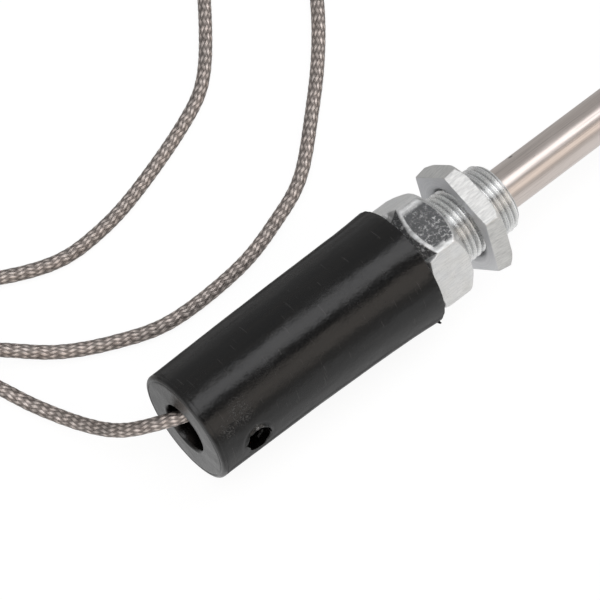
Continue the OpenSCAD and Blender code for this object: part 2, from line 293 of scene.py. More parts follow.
class Mat:
    """A procedural material, with short ways to add its nodes."""

    def __init__(self, name, base, metallic=0.0, rough=0.5, **sockets):
        self.m = bpy.data.materials.new(name)
        self.m.use_nodes = True
        self.t = self.m.node_tree
        self.t.nodes.clear()
        self.out = self.t.nodes.new("ShaderNodeOutputMaterial")
        self.b = self.t.nodes.new("ShaderNodeBsdfPrincipled")
        self.t.links.new(self.b.outputs[0], self.out.inputs["Surface"])
        self.b.inputs["Base Color"].default_value = (*base, 1)
        self.b.inputs["Metallic"].default_value = metallic
        self.b.inputs["Roughness"].default_value = rough
        for k, v in sockets.items():
            self.b.inputs[k.replace("_", " ")].default_value = v
        self.coord = None
        self.heights = []

    def new(self, kind, **props):
        n = self.t.nodes.new(kind)
        for k, v in props.items():
            setattr(n, k, v)
        return n

    def link(self, a, b):
        self.t.links.new(a, b)

    def put(self, value, socket):
        if isinstance(value, (int, float)):
            socket.default_value = value
        elif isinstance(value, tuple):
            socket.default_value = (*value, 1) if len(value) == 3 and len(socket.default_value) == 4 else value
        else:
            self.link(value, socket)

    def pos(self, scale=(1, 1, 1), offset=(0, 0, 0), turn=(0, 0, 0)):
        """Object coordinates in millimetres, scaled per axis."""
        if self.coord is None:
            self.coord = self.new("ShaderNodeTexCoord").outputs["Object"]
        n = self.new("ShaderNodeMapping")
        n.inputs["Scale"].default_value = [1000 * v for v in scale]
        n.inputs["Location"].default_value = offset
        n.inputs["Rotation"].default_value = turn
        self.link(self.coord, n.inputs["Vector"])
        return n.outputs[0]

    def math(self, op, a, b=0.0, c=0.0, clamp=False):
        n = self.new("ShaderNodeMath", operation=op, use_clamp=clamp)
        for v, s in zip((a, b, c), n.inputs):
            self.put(v, s)
        return n.outputs[0]

    def noise(self, scale, detail=3.0, rough=0.55, at=None, distort=0.0):
        n = self.new("ShaderNodeTexNoise")
        n.inputs["Scale"].default_value = scale
        n.inputs["Detail"].default_value = detail
        n.inputs["Roughness"].default_value = rough
        n.inputs["Distortion"].default_value = distort
        self.link(at if at is not None else self.pos(), n.inputs["Vector"])
        return n.outputs["Fac"]

    def voronoi(self, scale, at=None, feature="F1", out="Distance"):
        n = self.new("ShaderNodeTexVoronoi", feature=feature)
        n.inputs["Scale"].default_value = scale
        self.link(at if at is not None else self.pos(), n.inputs["Vector"])
        return n.outputs[out]

    def ramp(self, value, stops, mode="LINEAR"):
        n = self.new("ShaderNodeValToRGB")
        n.color_ramp.interpolation = mode
        e = n.color_ramp.elements
        while len(e) > 1:
            e.remove(e[-1])
        for i, (p, c) in enumerate(stops):
            el = e[0] if i == 0 else e.new(p)
            el.position = p
            c = (c, c, c) if isinstance(c, (int, float)) else c
            el.color = (*c, 1)
        self.link(value, n.inputs[0])
        return n.outputs[0]

    def range(self, value, a0, a1, b0=0.0, b1=1.0, smooth=False):
        n = self.new("ShaderNodeMapRange", interpolation_type="SMOOTHSTEP" if smooth else "LINEAR")
        self.link(value, n.inputs["Value"])
        for k, v in (("From Min", a0), ("From Max", a1), ("To Min", b0), ("To Max", b1)):
            n.inputs[k].default_value = v
        return n.outputs[0]

    def mix(self, fac, a, b, blend="MIX"):
        n = self.new("ShaderNodeMix", data_type="RGBA", blend_type=blend)
        self.put(fac, n.inputs["Factor"])
        self.put(a, n.inputs[6])
        self.put(b, n.inputs[7])
        return n.outputs[2]

    def attr(self, name):
        return self.new("ShaderNodeAttribute", attribute_name=name).outputs["Fac"]

    def near(self, point_mm, r0, r1):
        """1 inside r0 of a row-frame point in millimetres, 0 outside r1."""
        n = self.new("ShaderNodeVectorMath", operation="DISTANCE")
        self.link(self.pos(), n.inputs[0])
        n.inputs[1].default_value = point_mm
        return self.range(n.outputs["Value"], r0, r1, 1.0, 0.0, smooth=True)

    def color(self, value):
        self.put(value, self.b.inputs["Base Color"])
        return self

    def rough(self, value):
        self.put(value, self.b.inputs["Roughness"])
        return self

    def bump(self, height, distance_mm, strength=1.0):
        n = self.new("ShaderNodeBump")
        n.inputs["Distance"].default_value = distance_mm * MM
        n.inputs["Strength"].default_value = strength
        self.link(height, n.inputs["Height"])
        if self.heights:
            self.link(self.heights[-1], n.inputs["Normal"])
        self.heights.append(n.outputs[0])
        self.link(n.outputs[0], self.b.inputs["Normal"])
        return self


# ---------------------------------------------------------------- materials


def m_boot():
    m = Mat("boot_black", (0.0015, 0.0015, 0.0016), 0.0, 0.33, IOR=1.5)
    # the skin is matt at glancing angles
    lw = m.new("ShaderNodeLayerWeight")
    lw.inputs["Blend"].default_value = 0.5
    skin = m.range(lw.outputs["Facing"], 0.42, 0.78, 0.50, 0.01, smooth=True)
    where = m.new("ShaderNodeSeparateXYZ")
    m.link(m.pos(), where.inputs[0])
    face = m.range(where.outputs[0], X0 + 0.3, X0 + 1.0, 0.62, 0.0)
    m.link(m.math("MAXIMUM", skin, face), m.b.inputs["Specular IOR Level"])
    cloud = m.noise(0.11, 3.0, at=m.pos(scale=(0.5, 1, 1)))
    fine = m.noise(2.2, 4.0, 0.6)
    # dusty brown-grey bloom that runs along the boot
    along = m.noise(0.5, 2.0, at=m.pos(scale=(0.12, 1.6, 1.6)))
    scuff_at = SCUFF
    zone = m.near(scuff_at, 0.8, 4.2)
    grit = m.range(m.noise(2.1, 5.0, 0.75, distort=0.7), 0.52, 0.64)
    streak = m.range(m.noise(0.9, 3.0, 0.6, at=m.pos(scale=(0.35, 2.4, 2.4), turn=(0.5, 0.2, 0.6))), 0.6, 0.7)
    worn = m.math("MULTIPLY", m.math("MAXIMUM", grit, m.math("MULTIPLY", streak, 0.7)), zone)
    zone2 = m.near(SCUFF2, 0.3, 3.4)
    worn = m.math("MAXIMUM", worn, m.math("MULTIPLY", m.math("MULTIPLY", grit, zone2), 0.8))
    thin = m.range(m.noise(0.8, 2.0, 0.5, at=m.pos(scale=(3.2, 0.22, 0.22), turn=(0.1, 0.3, 0.25))), 0.69, 0.72)
    marks = m.math("MULTIPLY", thin, 0.25)
    dirt = m.mix(m.range(along, 0.42, 0.72, 0.0, 0.5), (0.0012, 0.0012, 0.0014), (0.0062, 0.0050, 0.0038))
    worn_amt = m.math("MULTIPLY", worn, 0.5)
    lip = m.math("MULTIPLY", m.near(FLASH, 0.3, 1.7), m.range(m.noise(1.3, 4.0, 0.7), 0.45, 0.6))
    worn_amt = m.math("MAXIMUM", worn_amt, lip)
    m.color(m.mix(m.math("MAXIMUM", worn_amt, m.math("MULTIPLY", marks, 0.5)), dirt, (0.17, 0.165, 0.16)))
    rough = m.math("ADD", m.range(cloud, 0.3, 0.7, 0.16, 0.25), m.range(fine, 0.3, 0.7, -0.04, 0.07))
    m.rough(m.math("ADD", rough, m.math("MULTIPLY", worn, 0.3)))
    m.bump(fine, 0.03, 0.6)
    m.bump(m.noise(0.55, 3.0), 0.08, 0.5)
    m.bump(m.noise(0.16, 2.0, at=m.pos(scale=(0.5, 1, 1))), 0.30, 0.5)
    m.bump(worn, 0.06, 0.6)
    return m.m


def m_zinc(name="zinc_steel", grain=1.0):
    """Bright zinc plate. The mesh attribute rough marks the dark pickled areas."""
    m = Mat(name, (0.78, 0.785, 0.785), 0.84, 0.34)
    rough_area = m.attr("rough")
    drawn = m.noise(1.0, 3.0, 0.6, at=m.pos(scale=(0.35, 3.2, 3.2)))
    cloud = m.noise(0.35, 3.0)
    pit = m.range(m.voronoi(1.9), 0.0, 0.32, 1.0, 0.0)
    speck = m.range(m.noise(1.5, 4.0, 0.75), 0.5, 0.66)
    plain = m.mix(m.range(cloud, 0.3, 0.7), (0.82, 0.83, 0.83), (0.93, 0.93, 0.92))
    plain = m.mix(m.range(drawn, 0.42, 0.62, 0.0, 0.5 * grain), plain, (0.70, 0.705, 0.71))
    calm = m.range(m.noise(0.33, 2.0, at=m.pos(offset=(1, 5, 2))), 0.42, 0.62)
    speck = m.math("MULTIPLY", speck, m.math("ADD", 0.35, m.math("MULTIPLY", calm, 0.65)))
    dark = m.mix(speck, (0.13, 0.133, 0.137), (0.72, 0.72, 0.72))
    tarnish = m.range(m.noise(0.22, 2.0, at=m.pos(offset=(3, 8, 1))), 0.5, 0.75, 0.0, 0.25)
    plain = m.mix(tarnish, plain, (0.78, 0.76, 0.70))
    m.color(m.mix(rough_area, m.mix(m.math("MULTIPLY", pit, 0.35), plain, (0.4, 0.4, 0.41)), dark))
    r = m.math("ADD", m.range(cloud, 0.3, 0.7, 0.30, 0.42), m.range(drawn, 0.35, 0.65, -0.03, 0.09))
    m.rough(m.math("ADD", r, m.math("MULTIPLY", rough_area, 0.12)))
    m.bump(drawn, 0.03, 0.5 * grain)
    m.bump(m.noise(1.3, 4.0), 0.03, 0.5)
    h = m.math("MULTIPLY", m.noise(1.5, 4.0, 0.75), rough_area)
    m.bump(h, 0.22, 0.85)
    return m.m


def m_nut():
    m = Mat("zinc_nut", (0.8, 0.8, 0.79), 0.84, 0.32)
    band = m.noise(1.0, 3.0, 0.65, at=m.pos(scale=(0.25, 2.6, 2.6)))
    scratch = m.range(m.noise(1.0, 4.0, 0.7, at=m.pos(scale=(0.5, 6, 6), turn=(0, 0, 0.12))), 0.55, 0.7)
    cloud = m.noise(0.5, 3.0)
    face = m.attr("face")
    ring_at = m.new("ShaderNodeVectorMath", operation="LENGTH")
    m.link(m.pos(scale=(0, 1, 1), offset=(0, 0, -AZ)), ring_at.inputs[0])
    comb = m.new("ShaderNodeCombineXYZ")
    m.link(ring_at.outputs["Value"], comb.inputs[0])
    ringn = m.new("ShaderNodeTexNoise")
    ringn.inputs["Scale"].default_value = 3.4
    ringn.inputs["Detail"].default_value = 3.0
    m.link(comb.outputs[0], ringn.inputs["Vector"])
    rings = ringn.outputs["Fac"]
    flats = m.mix(m.range(band, 0.38, 0.66, 0.0, 0.75), (0.76, 0.76, 0.745), (0.56, 0.565, 0.56))
    flats = m.mix(m.math("MULTIPLY", scratch, 0.45), flats, (0.5, 0.5, 0.5))
    turned = m.mix(m.range(rings, 0.35, 0.65), (0.60, 0.61, 0.63), (0.74, 0.745, 0.76))
    turned = m.mix(m.range(cloud, 0.35, 0.7, 0.0, 0.4), turned, (0.72, 0.72, 0.73))
    m.color(m.mix(face, flats, turned))
    m.rough(m.math("ADD", m.range(band, 0.3, 0.7, 0.40, 0.54), m.math("MULTIPLY", scratch, 0.08)))
    m.bump(m.math("MULTIPLY", band, m.math("SUBTRACT", 1.0, face)), 0.06, 0.55)
    m.bump(m.math("MULTIPLY", rings, face), 0.05, 0.5)
    m.bump(m.noise(1.4, 4.0), 0.03, 0.4)
    return m.m


def m_thread():
    m = Mat("zinc_thread", (0.8, 0.8, 0.79), 0.88, 0.27)
    cloud = m.noise(0.6, 3.0)
    # painted shade: the colour goes dark grey in the thread's roots
    dirt = m.attr("root")
    c = m.mix(m.range(cloud, 0.3, 0.7), (0.84, 0.85, 0.85), (0.95, 0.95, 0.94))
    c = m.mix(m.math("MULTIPLY", dirt, 0.6), c, (0.22, 0.225, 0.23))
    nick = m.range(m.noise(1.1, 4.0, 0.7, at=m.pos(offset=(4, 1, 7))), 0.62, 0.72, 0.0, 0.5)
    m.color(m.mix(nick, c, (0.42, 0.42, 0.42)))
    m.rough(m.range(m.noise(1.6, 3.0), 0.3, 0.7, 0.20, 0.34))
    m.bump(m.noise(2.0, 4.0), 0.03, 0.5)
    return m.m


def m_stainless():
    m = Mat("stainless", (0.8, 0.715, 0.66), 1.0, 0.17)
    lines = m.noise(1.0, 4.0, 0.7, at=m.pos(scale=(0.06, 3.5, 3.5)))
    cloud = m.noise(0.18, 3.0, at=m.pos(scale=(0.4, 1, 1)))
    c = m.mix(m.range(cloud, 0.3, 0.7), (0.70, 0.625, 0.58), (0.76, 0.69, 0.65))
    c = m.mix(m.range(lines, 0.5, 0.64, 0.0, 0.55), c, (0.46, 0.41, 0.385))
    nick = m.near(NICK, 0.25, 0.75)
    m.color(m.mix(m.math("MULTIPLY", nick, 0.85), c, (0.08, 0.07, 0.07)))
    m.rough(m.math("ADD", m.range(lines, 0.35, 0.65, 0.27, 0.34), m.range(cloud, 0.3, 0.7, -0.02, 0.03)))
    m.bump(lines, 0.012, 0.5)
    m.bump(nick, 0.12, -0.6)
    return m.m


def m_braid():
    """Sixteen flat strands of five wires, woven two over two. UV is the pair of
    strand coordinates, so the weave follows the mesh's own relief."""
    m = Mat("steel_braid", (0.5, 0.45, 0.42), 0.92, 0.34)
    uv = m.new("ShaderNodeUVMap", uv_map="weave").outputs[0]
    sep = m.new("ShaderNodeSeparateXYZ")
    m.link(uv, sep.inputs[0])
    p, q = sep.outputs[0], sep.outputs[1]
    fp, fq = m.math("FLOOR", p), m.math("FLOOR", q)
    za = m.math("COSINE", m.math("MULTIPLY", m.math("SUBTRACT", q, fp), math.pi / 2))
    zb = m.math("COSINE", m.math("MULTIPLY", m.math("SUBTRACT", m.math("SUBTRACT", p, fq), 3.0), math.pi / 2))
    top = m.math("GREATER_THAN", za, zb)
    u = m.new("ShaderNodeMix", data_type="FLOAT")
    m.link(top, u.inputs[0])
    m.link(m.math("FRACT", q), u.inputs[2])
    m.link(m.math("FRACT", p), u.inputs[3])
    u = u.outputs[0]
    edge = m.math("POWER", m.math("ABSOLUTE", m.math("SUBTRACT", m.math("MULTIPLY", u, 2.0), 1.0)), 3.2)
    wire = m.math("ABSOLUTE", m.math("SUBTRACT", m.math("MULTIPLY", m.math("FRACT", m.math("MULTIPLY", u, 5.0)), 2.0), 1.0))
    low = m.range(m.math("MAXIMUM", za, zb), 0.55, 0.98, 1.0, 0.0)
    ident = m.new("ShaderNodeTexWhiteNoise", noise_dimensions="2D")
    comb = m.new("ShaderNodeCombineXYZ")
    m.link(m.math("ADD", fp, m.math("MULTIPLY", top, 31.0)), comb.inputs[0])
    m.link(fq, comb.inputs[1])
    m.link(comb.outputs[0], ident.inputs["Vector"])
    rnd = ident.outputs["Value"]
    tone = m.mix(rnd, (0.66, 0.575, 0.53), (1.0, 0.885, 0.82))
    tone = m.mix(m.range(m.noise(0.25, 2.0), 0.35, 0.7, 0.0, 0.45), tone, (0.62, 0.59, 0.56))
    # painted shade: the grooves between the wires, the strands' edges and the places where a strand dips under another
    # are darker in the colour
    tone = m.mix(m.math("MULTIPLY", m.math("POWER", wire, 4.0), 0.5), tone, (0.20, 0.17, 0.155))
    dark = m.math("MAXIMUM", m.math("MULTIPLY", edge, 0.95), m.math("MULTIPLY", low, 0.65))
    m.color(m.mix(dark, tone, (0.04, 0.03, 0.027)))
    m.rough(m.range(rnd, 0.0, 1.0, 0.24, 0.38))
    m.bump(m.math("SUBTRACT", 1.0, m.math("POWER", wire, 2.0)), 0.035, 0.8)
    m.bump(m.math("SUBTRACT", 1.0, edge), 0.05, 0.6)
    return m.m


def m_black(name, base, rough, scale=1.0):
    m = Mat(name, base, 0.0, rough)
    n = m.noise(1.6 * scale, 4.0)
    c = m.noise(0.3, 3.0)
    lighter = tuple(v * 2.2 + 0.004 for v in base)
    m.color(m.mix(m.range(c, 0.35, 0.75), base, lighter))
    m.rough(m.range(n, 0.3, 0.7, rough - 0.08, rough + 0.08))
    m.bump(n, 0.03, 0.5)
    return m.m


def m_ceramic(name, base, rough, glazed):
    m = Mat(name, base, 0.0, rough)
    if glazed:
        m.b.inputs["Coat Weight"].default_value = 0.5
        m.b.inputs["Coat Roughness"].default_value = 0.08
    c = m.noise(0.5, 3.0)
    speck = m.range(m.voronoi(1.1), 0.0, 0.12, 1.0, 0.0)
    dark = tuple(v * 0.86 for v in base)
    m.color(m.mix(m.math("MULTIPLY", speck, 0.35), m.mix(m.range(c, 0.35, 0.7), base, dark), (0.45, 0.38, 0.3)))
    m.rough(m.range(m.noise(1.5, 3.0), 0.3, 0.7, rough - 0.06, rough + 0.08))
    m.bump(m.noise(2.2, 4.0), 0.015, 0.5)
    m.b.inputs["Subsurface Weight"].default_value = 0.08
    m.b.inputs["Subsurface Scale"].default_value = 0.001
    return m.m


def m_metal(name, base, rough, tint=None, streak=(1, 1, 1)):
    m = Mat(name, base, 1.0, rough)
    n = m.noise(1.2, 4.0, at=m.pos(scale=streak))
    c = m.noise(0.4, 3.0)
    other = tint or tuple(v * 0.75 for v in base)
    m.color(m.mix(m.range(c, 0.35, 0.7, 0.0, 0.7), base, other))
    m.rough(m.range(n, 0.3, 0.7, max(0.05, rough - 0.09), rough + 0.1))
    m.bump(n, 0.02, 0.5)
    return m.m


def m_electrode():
    """Heat-resistant rod, blued and scaled towards its hot tip."""
    m = Mat("electrode_alloy", (0.5, 0.47, 0.44), 1.0, 0.32)
    x = m.new("ShaderNodeSeparateXYZ")
    m.link(m.pos(), x.inputs[0])
    wob = m.math("ADD", x.outputs[0], m.math("MULTIPLY", m.noise(0.4, 3.0), 5.0))
    heat = m.range(wob, X0 + S_NOSE + 1, X0 + S_TIP + 1)
    m.color(
        m.ramp(
            heat,
            [
                (0.0, (0.56, 0.53, 0.5)),
                (0.3, (0.55, 0.47, 0.36)),
                (0.45, (0.42, 0.27, 0.2)),
                (0.58, (0.24, 0.18, 0.24)),
                (0.72, (0.2, 0.2, 0.26)),
                (1.0, (0.17, 0.155, 0.15)),
            ],
        )
    )
    lines = m.noise(1.0, 4.0, 0.7, at=m.pos(scale=(0.12, 4, 4)))
    m.rough(m.math("ADD", m.range(lines, 0.3, 0.7, 0.22, 0.34), m.math("MULTIPLY", heat, 0.18)))
    m.bump(lines, 0.015, 0.5)
    m.bump(m.math("MULTIPLY", m.noise(1.8, 4.0), heat), 0.06, 0.5)
    return m.m


def m_woven(name):
    m = Mat(name, (0.72, 0.68, 0.58), 0.0, 0.8)
    m.b.inputs["Sheen Weight"].default_value = 0.25
    w1 = m.new("ShaderNodeTexWave", wave_type="BANDS", bands_direction="DIAGONAL")
    w1.inputs["Scale"].default_value = 1.4
    w1.inputs["Distortion"].default_value = 0.6
    m.link(m.pos(), w1.inputs["Vector"])
    w2 = m.new("ShaderNodeTexWave", wave_type="BANDS", bands_direction="DIAGONAL")
    w2.inputs["Scale"].default_value = 1.4
    m.link(m.pos(scale=(-1, 1, 1)), w2.inputs["Vector"])
    h = m.math("MAXIMUM", w1.outputs["Fac"], w2.outputs["Fac"])
    # painted shade: the colour follows the weave's height, darker in its grooves
    m.color(m.mix(h, (0.45, 0.41, 0.33), (0.80, 0.77, 0.68)))
    m.bump(h, 0.12, 0.7)
    return m.m


def at_px(s, r, a):
    """Row-frame millimetres of a spot on the probe."""
    t = math.radians(a)
    return (X0 + s, -r * math.sin(t), AZ + r * math.cos(t))


SCUFF = at_px(8.5, 13.2, 40)
SCUFF2 = at_px(4.0, 13.1, 46)
FLASH = at_px(10.4, 13.4, 66.5)
NICK = at_px(94.5, 5.0, -50)

MATS = {
    "boot": m_boot(),
    "zinc": m_zinc(),
    "nut": m_nut(),
    "thread": m_thread(),
    "steel": m_stainless(),
    "braid": m_braid(),
    "tie": m_black("tie_black", (0.008, 0.008, 0.009), 0.42),
    "shrink": m_black("shrink_black", (0.01, 0.01, 0.011), 0.5, 1.6),
    "cover": m_black("cover_black", (0.014, 0.014, 0.015), 0.38, 0.8),
    "white": m_ceramic("white_insulation", (0.80, 0.80, 0.77), 0.42, False),
    "alumina": m_ceramic("alumina", (0.84, 0.81, 0.74), 0.6, False),
    "steatite": m_ceramic("steatite", (0.86, 0.84, 0.78), 0.3, True),
    "copper": m_metal("copper", (0.84, 0.46, 0.30), 0.32, (0.55, 0.28, 0.17)),
    "brass": m_metal("brass", (0.85, 0.66, 0.32), 0.28, (0.6, 0.44, 0.2)),
    "screw": m_metal("screw_steel", (0.5, 0.5, 0.52), 0.35),
    "nickel": m_metal("nickel", (0.68, 0.66, 0.61), 0.28),
    "tinned": m_metal("tinned_brass", (0.80, 0.775, 0.70), 0.3, (0.68, 0.6, 0.42), (0.4, 3, 3)),
    "rod": m_electrode(),
    "sleeve": m_woven("glass_sleeve"),
}

# CAD nodes that are shown as they are, with their own materials
for node, key in {
    "core_insulator": "alumina",
    "rear_insulator": "steatite",
    "seal_washer": "copper",
    "retaining_ring": "nickel",
    "terminal_barrel": "brass",
    "terminal_screws": "screw",
    "insulating_sleeve": "sleeve",
    "lead_conductor": "copper",
    "lead_insulation": "white",
    "braid_ferrule": "nickel",
}.items():
    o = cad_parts[node]
    o.data.materials.clear()
    o.data.materials.append(MATS[key])


# ---------------------------------------------------------------- the lead
# The route's points, x from the boot's rear face, as the frame's tube has them.
ROUTE = [
    (13, 0, 14.3), (10, 0, 14.3), (5, 1.4, 14.1), (0, 3.6, 13.2),
    (-4.2, 6.4, 11.3), (-7.5, 9.3, 8.9), (-10.1, 13, 6.5), (-12.1, 17.2, 4.5), (-14, 21.6, 3),
    (-15.9, 26.2, 2.1), (-18, 31.2, 1.7), (-20.5, 38.2, 1.6),
    (-26, 52, 1.6), (-33, 70, 1.6), (-38, 92, 1.6), (-36, 117, 1.6), (-26, 138, 1.6),
    (-9, 154, 1.6), (14, 161.5, 1.6), (40, 160.5, 1.6), (65, 153, 1.6), (87, 138, 1.6),
    (102, 119, 1.6), (108, 101, 1.6), (105, 84, 1.6), (95.4, 69.1, 1.6), (85.7, 57.4, 1.6),
    (74.7, 46.7, 1.6), (62.3, 36, 1.6),
    (51.5, 31.2, 1.6), (37.5, 27.3, 1.6), (18.1, 26.6, 1.6), (5.4, 30.6, 1.6),
    (-5.8, 36.4, 2.2), (-15.3, 44.1, 3.8), (-25, 51.5, 5), (-36, 62, 3.6), (-43, 76, 2),
    (-47, 98, 1.6), (-45, 117, 1.8), (-36, 134, 3.4), (-20, 144.8, 5), (-4, 149.2, 3.4),
    (15, 151.5, 1.6), (36, 150, 1.6), (57, 143.5, 1.6), (75, 132, 1.6), (86, 117, 1.6),
    (86, 101, 1.6), (75.8, 85.6, 1.6), (62.7, 70, 1.6), (51.4, 63.3, 1.6), (31.5, 56.3, 1.6),
    (18.8, 53.8, 1.6), (8.1, 54, 1.6), (-3.8, 58.9, 1.6), (-14, 66, 1.6),
    (-22, 77, 1.6), (-26.5, 91, 1.6), (-27.3, 103, 2.1), (-27.2, 110, 2.2),
]
TAIL = [
    (-5, 132.2, 5.6), (0, 132.3, 5.5), (5, 132, 4.7), (10, 131.2, 3.4),
    (15, 130.1, 2.5), (20, 128.6, 2.3), (25.2, 126.8, 2.3),
]
COIL_C = (-5.0, 110.0)
LEAD_R = 1.6
TURNS = 4.25


def catmull(points, step):
    p = np.array(points, float)
    n = len(p)
    out = []
    for i in range(n - 1):
        p0, p1, p2, p3 = p[max(i - 1, 0)], p[i], p[i + 1], p[min(i + 2, n - 1)]
        k = max(2, int(round(np.linalg.norm(p2 - p1) / step)))
        for t in np.arange(k) / k:
            out.append(
                0.5
                * (
                    2 * p1
                    + (p2 - p0) * t
                    + (2 * p0 - 5 * p1 + 4 * p2 - p3) * t * t
                    + (3 * p1 - p0 - 3 * p2 + p3) * t**3
                )
            )
    out.append(p[-1])
    return np.array(out)


def ease(t):
    t = np.clip(t, 0, 1)
    return t * t * (3 - 2 * t)


def coil_points():
    """Three turns in the lower layer from the outside in, then back out on top."""
    pts = []
    for u in np.arange(0.0, TURNS + 1e-9, 1 / 90):
        th = math.radians(180 - 360 * u)
        k, fr = int(min(u, TURNS - 1e-9)), u - int(min(u, TURNS - 1e-9))
        if u < 3:
            r = 22.2 - 3.2 * k - (3.2 * ease((fr - 0.8) / 0.2) if k < 2 else 0.0)
            z = 2.15 + (3.2 * ease((fr - 0.78) / 0.22) if k == 2 else 0.0)
        elif u < 4:
            r, z = 15.8 + 3.2 * ease((fr - 0.75) / 0.25), 5.35
        else:
            r, z = 19.0 + 3.2 * ease(fr / 0.25), 5.35
        pts.append((COIL_C[0] + r * math.cos(th), COIL_C[1] + r * math.sin(th), z))
    return np.array(pts)


def resample(p, step):
    d = np.concatenate([[0], np.cumsum(np.linalg.norm(np.diff(p, axis=0), axis=1))])
    n = int(round(d[-1] / step))
    t = np.linspace(0, d[-1], n + 1)
    return np.stack([np.interp(t, d, p[:, k]) for k in range(3)], -1), t


def soften(p, passes):
    q = p.copy()
    for _ in range(passes):
        q[1:-1] = 0.25 * q[:-2] + 0.5 * q[1:-1] + 0.25 * q[2:]
    return q


route = catmull(ROUTE, 0.5)
coil = coil_points()
tail = catmull(TAIL, 0.5)
line = np.vstack([route[:-1], coil, tail[1:]])
line, dist = resample(line, 0.5)
line = soften(line, 30)
STEP = 0.27
line, dist = resample(line, STEP)
LEAD_LEN = float(dist[-1])
line[:, 0] += X0


def build_lead():
    n = 52
    tan = np.gradient(line, axis=0)
    tan /= np.linalg.norm(tan, axis=1)[:, None]
    side = np.cross(tan, (0, 0, 1.0))
    side /= np.linalg.norm(side, axis=1)[:, None]
    up = np.cross(side, tan)
    lay, fam = 20.0, 10
    phi = np.arange(n) * 2 * math.pi / n
    s = dist[:, None]
    a = phi[None, :]
    p = fam * (a / (2 * math.pi) - s / lay)
    q = fam * (a / (2 * math.pi) + s / lay)
    # the weave's own relief: each flat strand rises over two and dips under two
    fp, fq = np.floor(p), np.floor(q)
    za = np.cos(math.pi / 2 * (q - fp))
    zb = np.cos(math.pi / 2 * (p - fq - 3))
    ra = 1 - np.abs(2 * (p - fp) - 1) ** 2.6
    rb = 1 - np.abs(2 * (q - fq) - 1) ** 2.6
    h = np.maximum(0.085 * za + 0.10 * ra, 0.085 * zb + 0.10 * rb)
    # the lead isn't quite round or even
    slow = noise3(np.stack([dist / 23, dist * 0, dist * 0 + 3], -1), 5)
    oval = 0.05 * noise3(np.stack([dist / 31, dist * 0 + 7, dist * 0], -1), 9)
    r = (LEAD_R - 0.185) + h + 0.02 * slow[:, None] + oval[:, None] * np.cos(2 * a)
    r = np.minimum(r, LEAD_R + 0.02)
    v = line[:, None, :] + r[..., None] * (
        np.cos(a)[..., None] * side[:, None, :] + np.sin(a)[..., None] * up[:, None, :]
    )
    v[..., 2] = np.maximum(v[..., 2], 0.02)
    rows = len(line)
    faces = grid_faces(rows, n)
    # UVs per corner, carried on past the seam
    rr = np.repeat(np.arange(rows - 1), n)
    cc = np.tile(np.arange(n), rows - 1)
    uv = []
    for dr, dc in ((0, 0), (0, 1), (1, 1), (1, 0)):
        sa, aa = dist[rr + dr], (cc + dc) * 2 * math.pi / n
        uv.append(np.stack([fam * (aa / (2 * math.pi) - sa / lay), fam * (aa / (2 * math.pi) + sa / lay)], -1))
    uv = np.stack(uv, 1).reshape(-1, 2)
    o = new_mesh("braided_lead", v.reshape(-1, 3) * MM, faces, MATS["braid"], None, uvs=uv)
    bm = bmesh.new()
    bm.from_mesh(o.data)
    bm.verts.ensure_lookup_table()
    bm.faces.new([bm.verts[i] for i in range(n)])
    bm.faces.new([bm.verts[(rows - 1) * n + i] for i in range(n)][::-1])
    bm.normal_update()
    if bm.calc_volume(signed=True) < 0:
        bmesh.ops.reverse_faces(bm, faces=bm.faces)
    bm.to_mesh(o.data)
    bm.free()
    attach(o, "probe")
    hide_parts("lead_cable", "lead_coil", "lead_tail")
    return o


lead = build_lead()


# ---------------------------------------------------------------- the boot
HOLE_S, HOLE_A, HOLE_R = 9.8, math.radians(80), 3.0


def boot_outer(s):
    xs = [0, 1.7, 15, 30, 46, 52, 56, 58.5, 60]
    rs = [13.0, 13.0, 13.2, 13.44, 13.76, 13.92, 14.14, 14.3, 14.3]
    return np.interp(s, xs, rs)


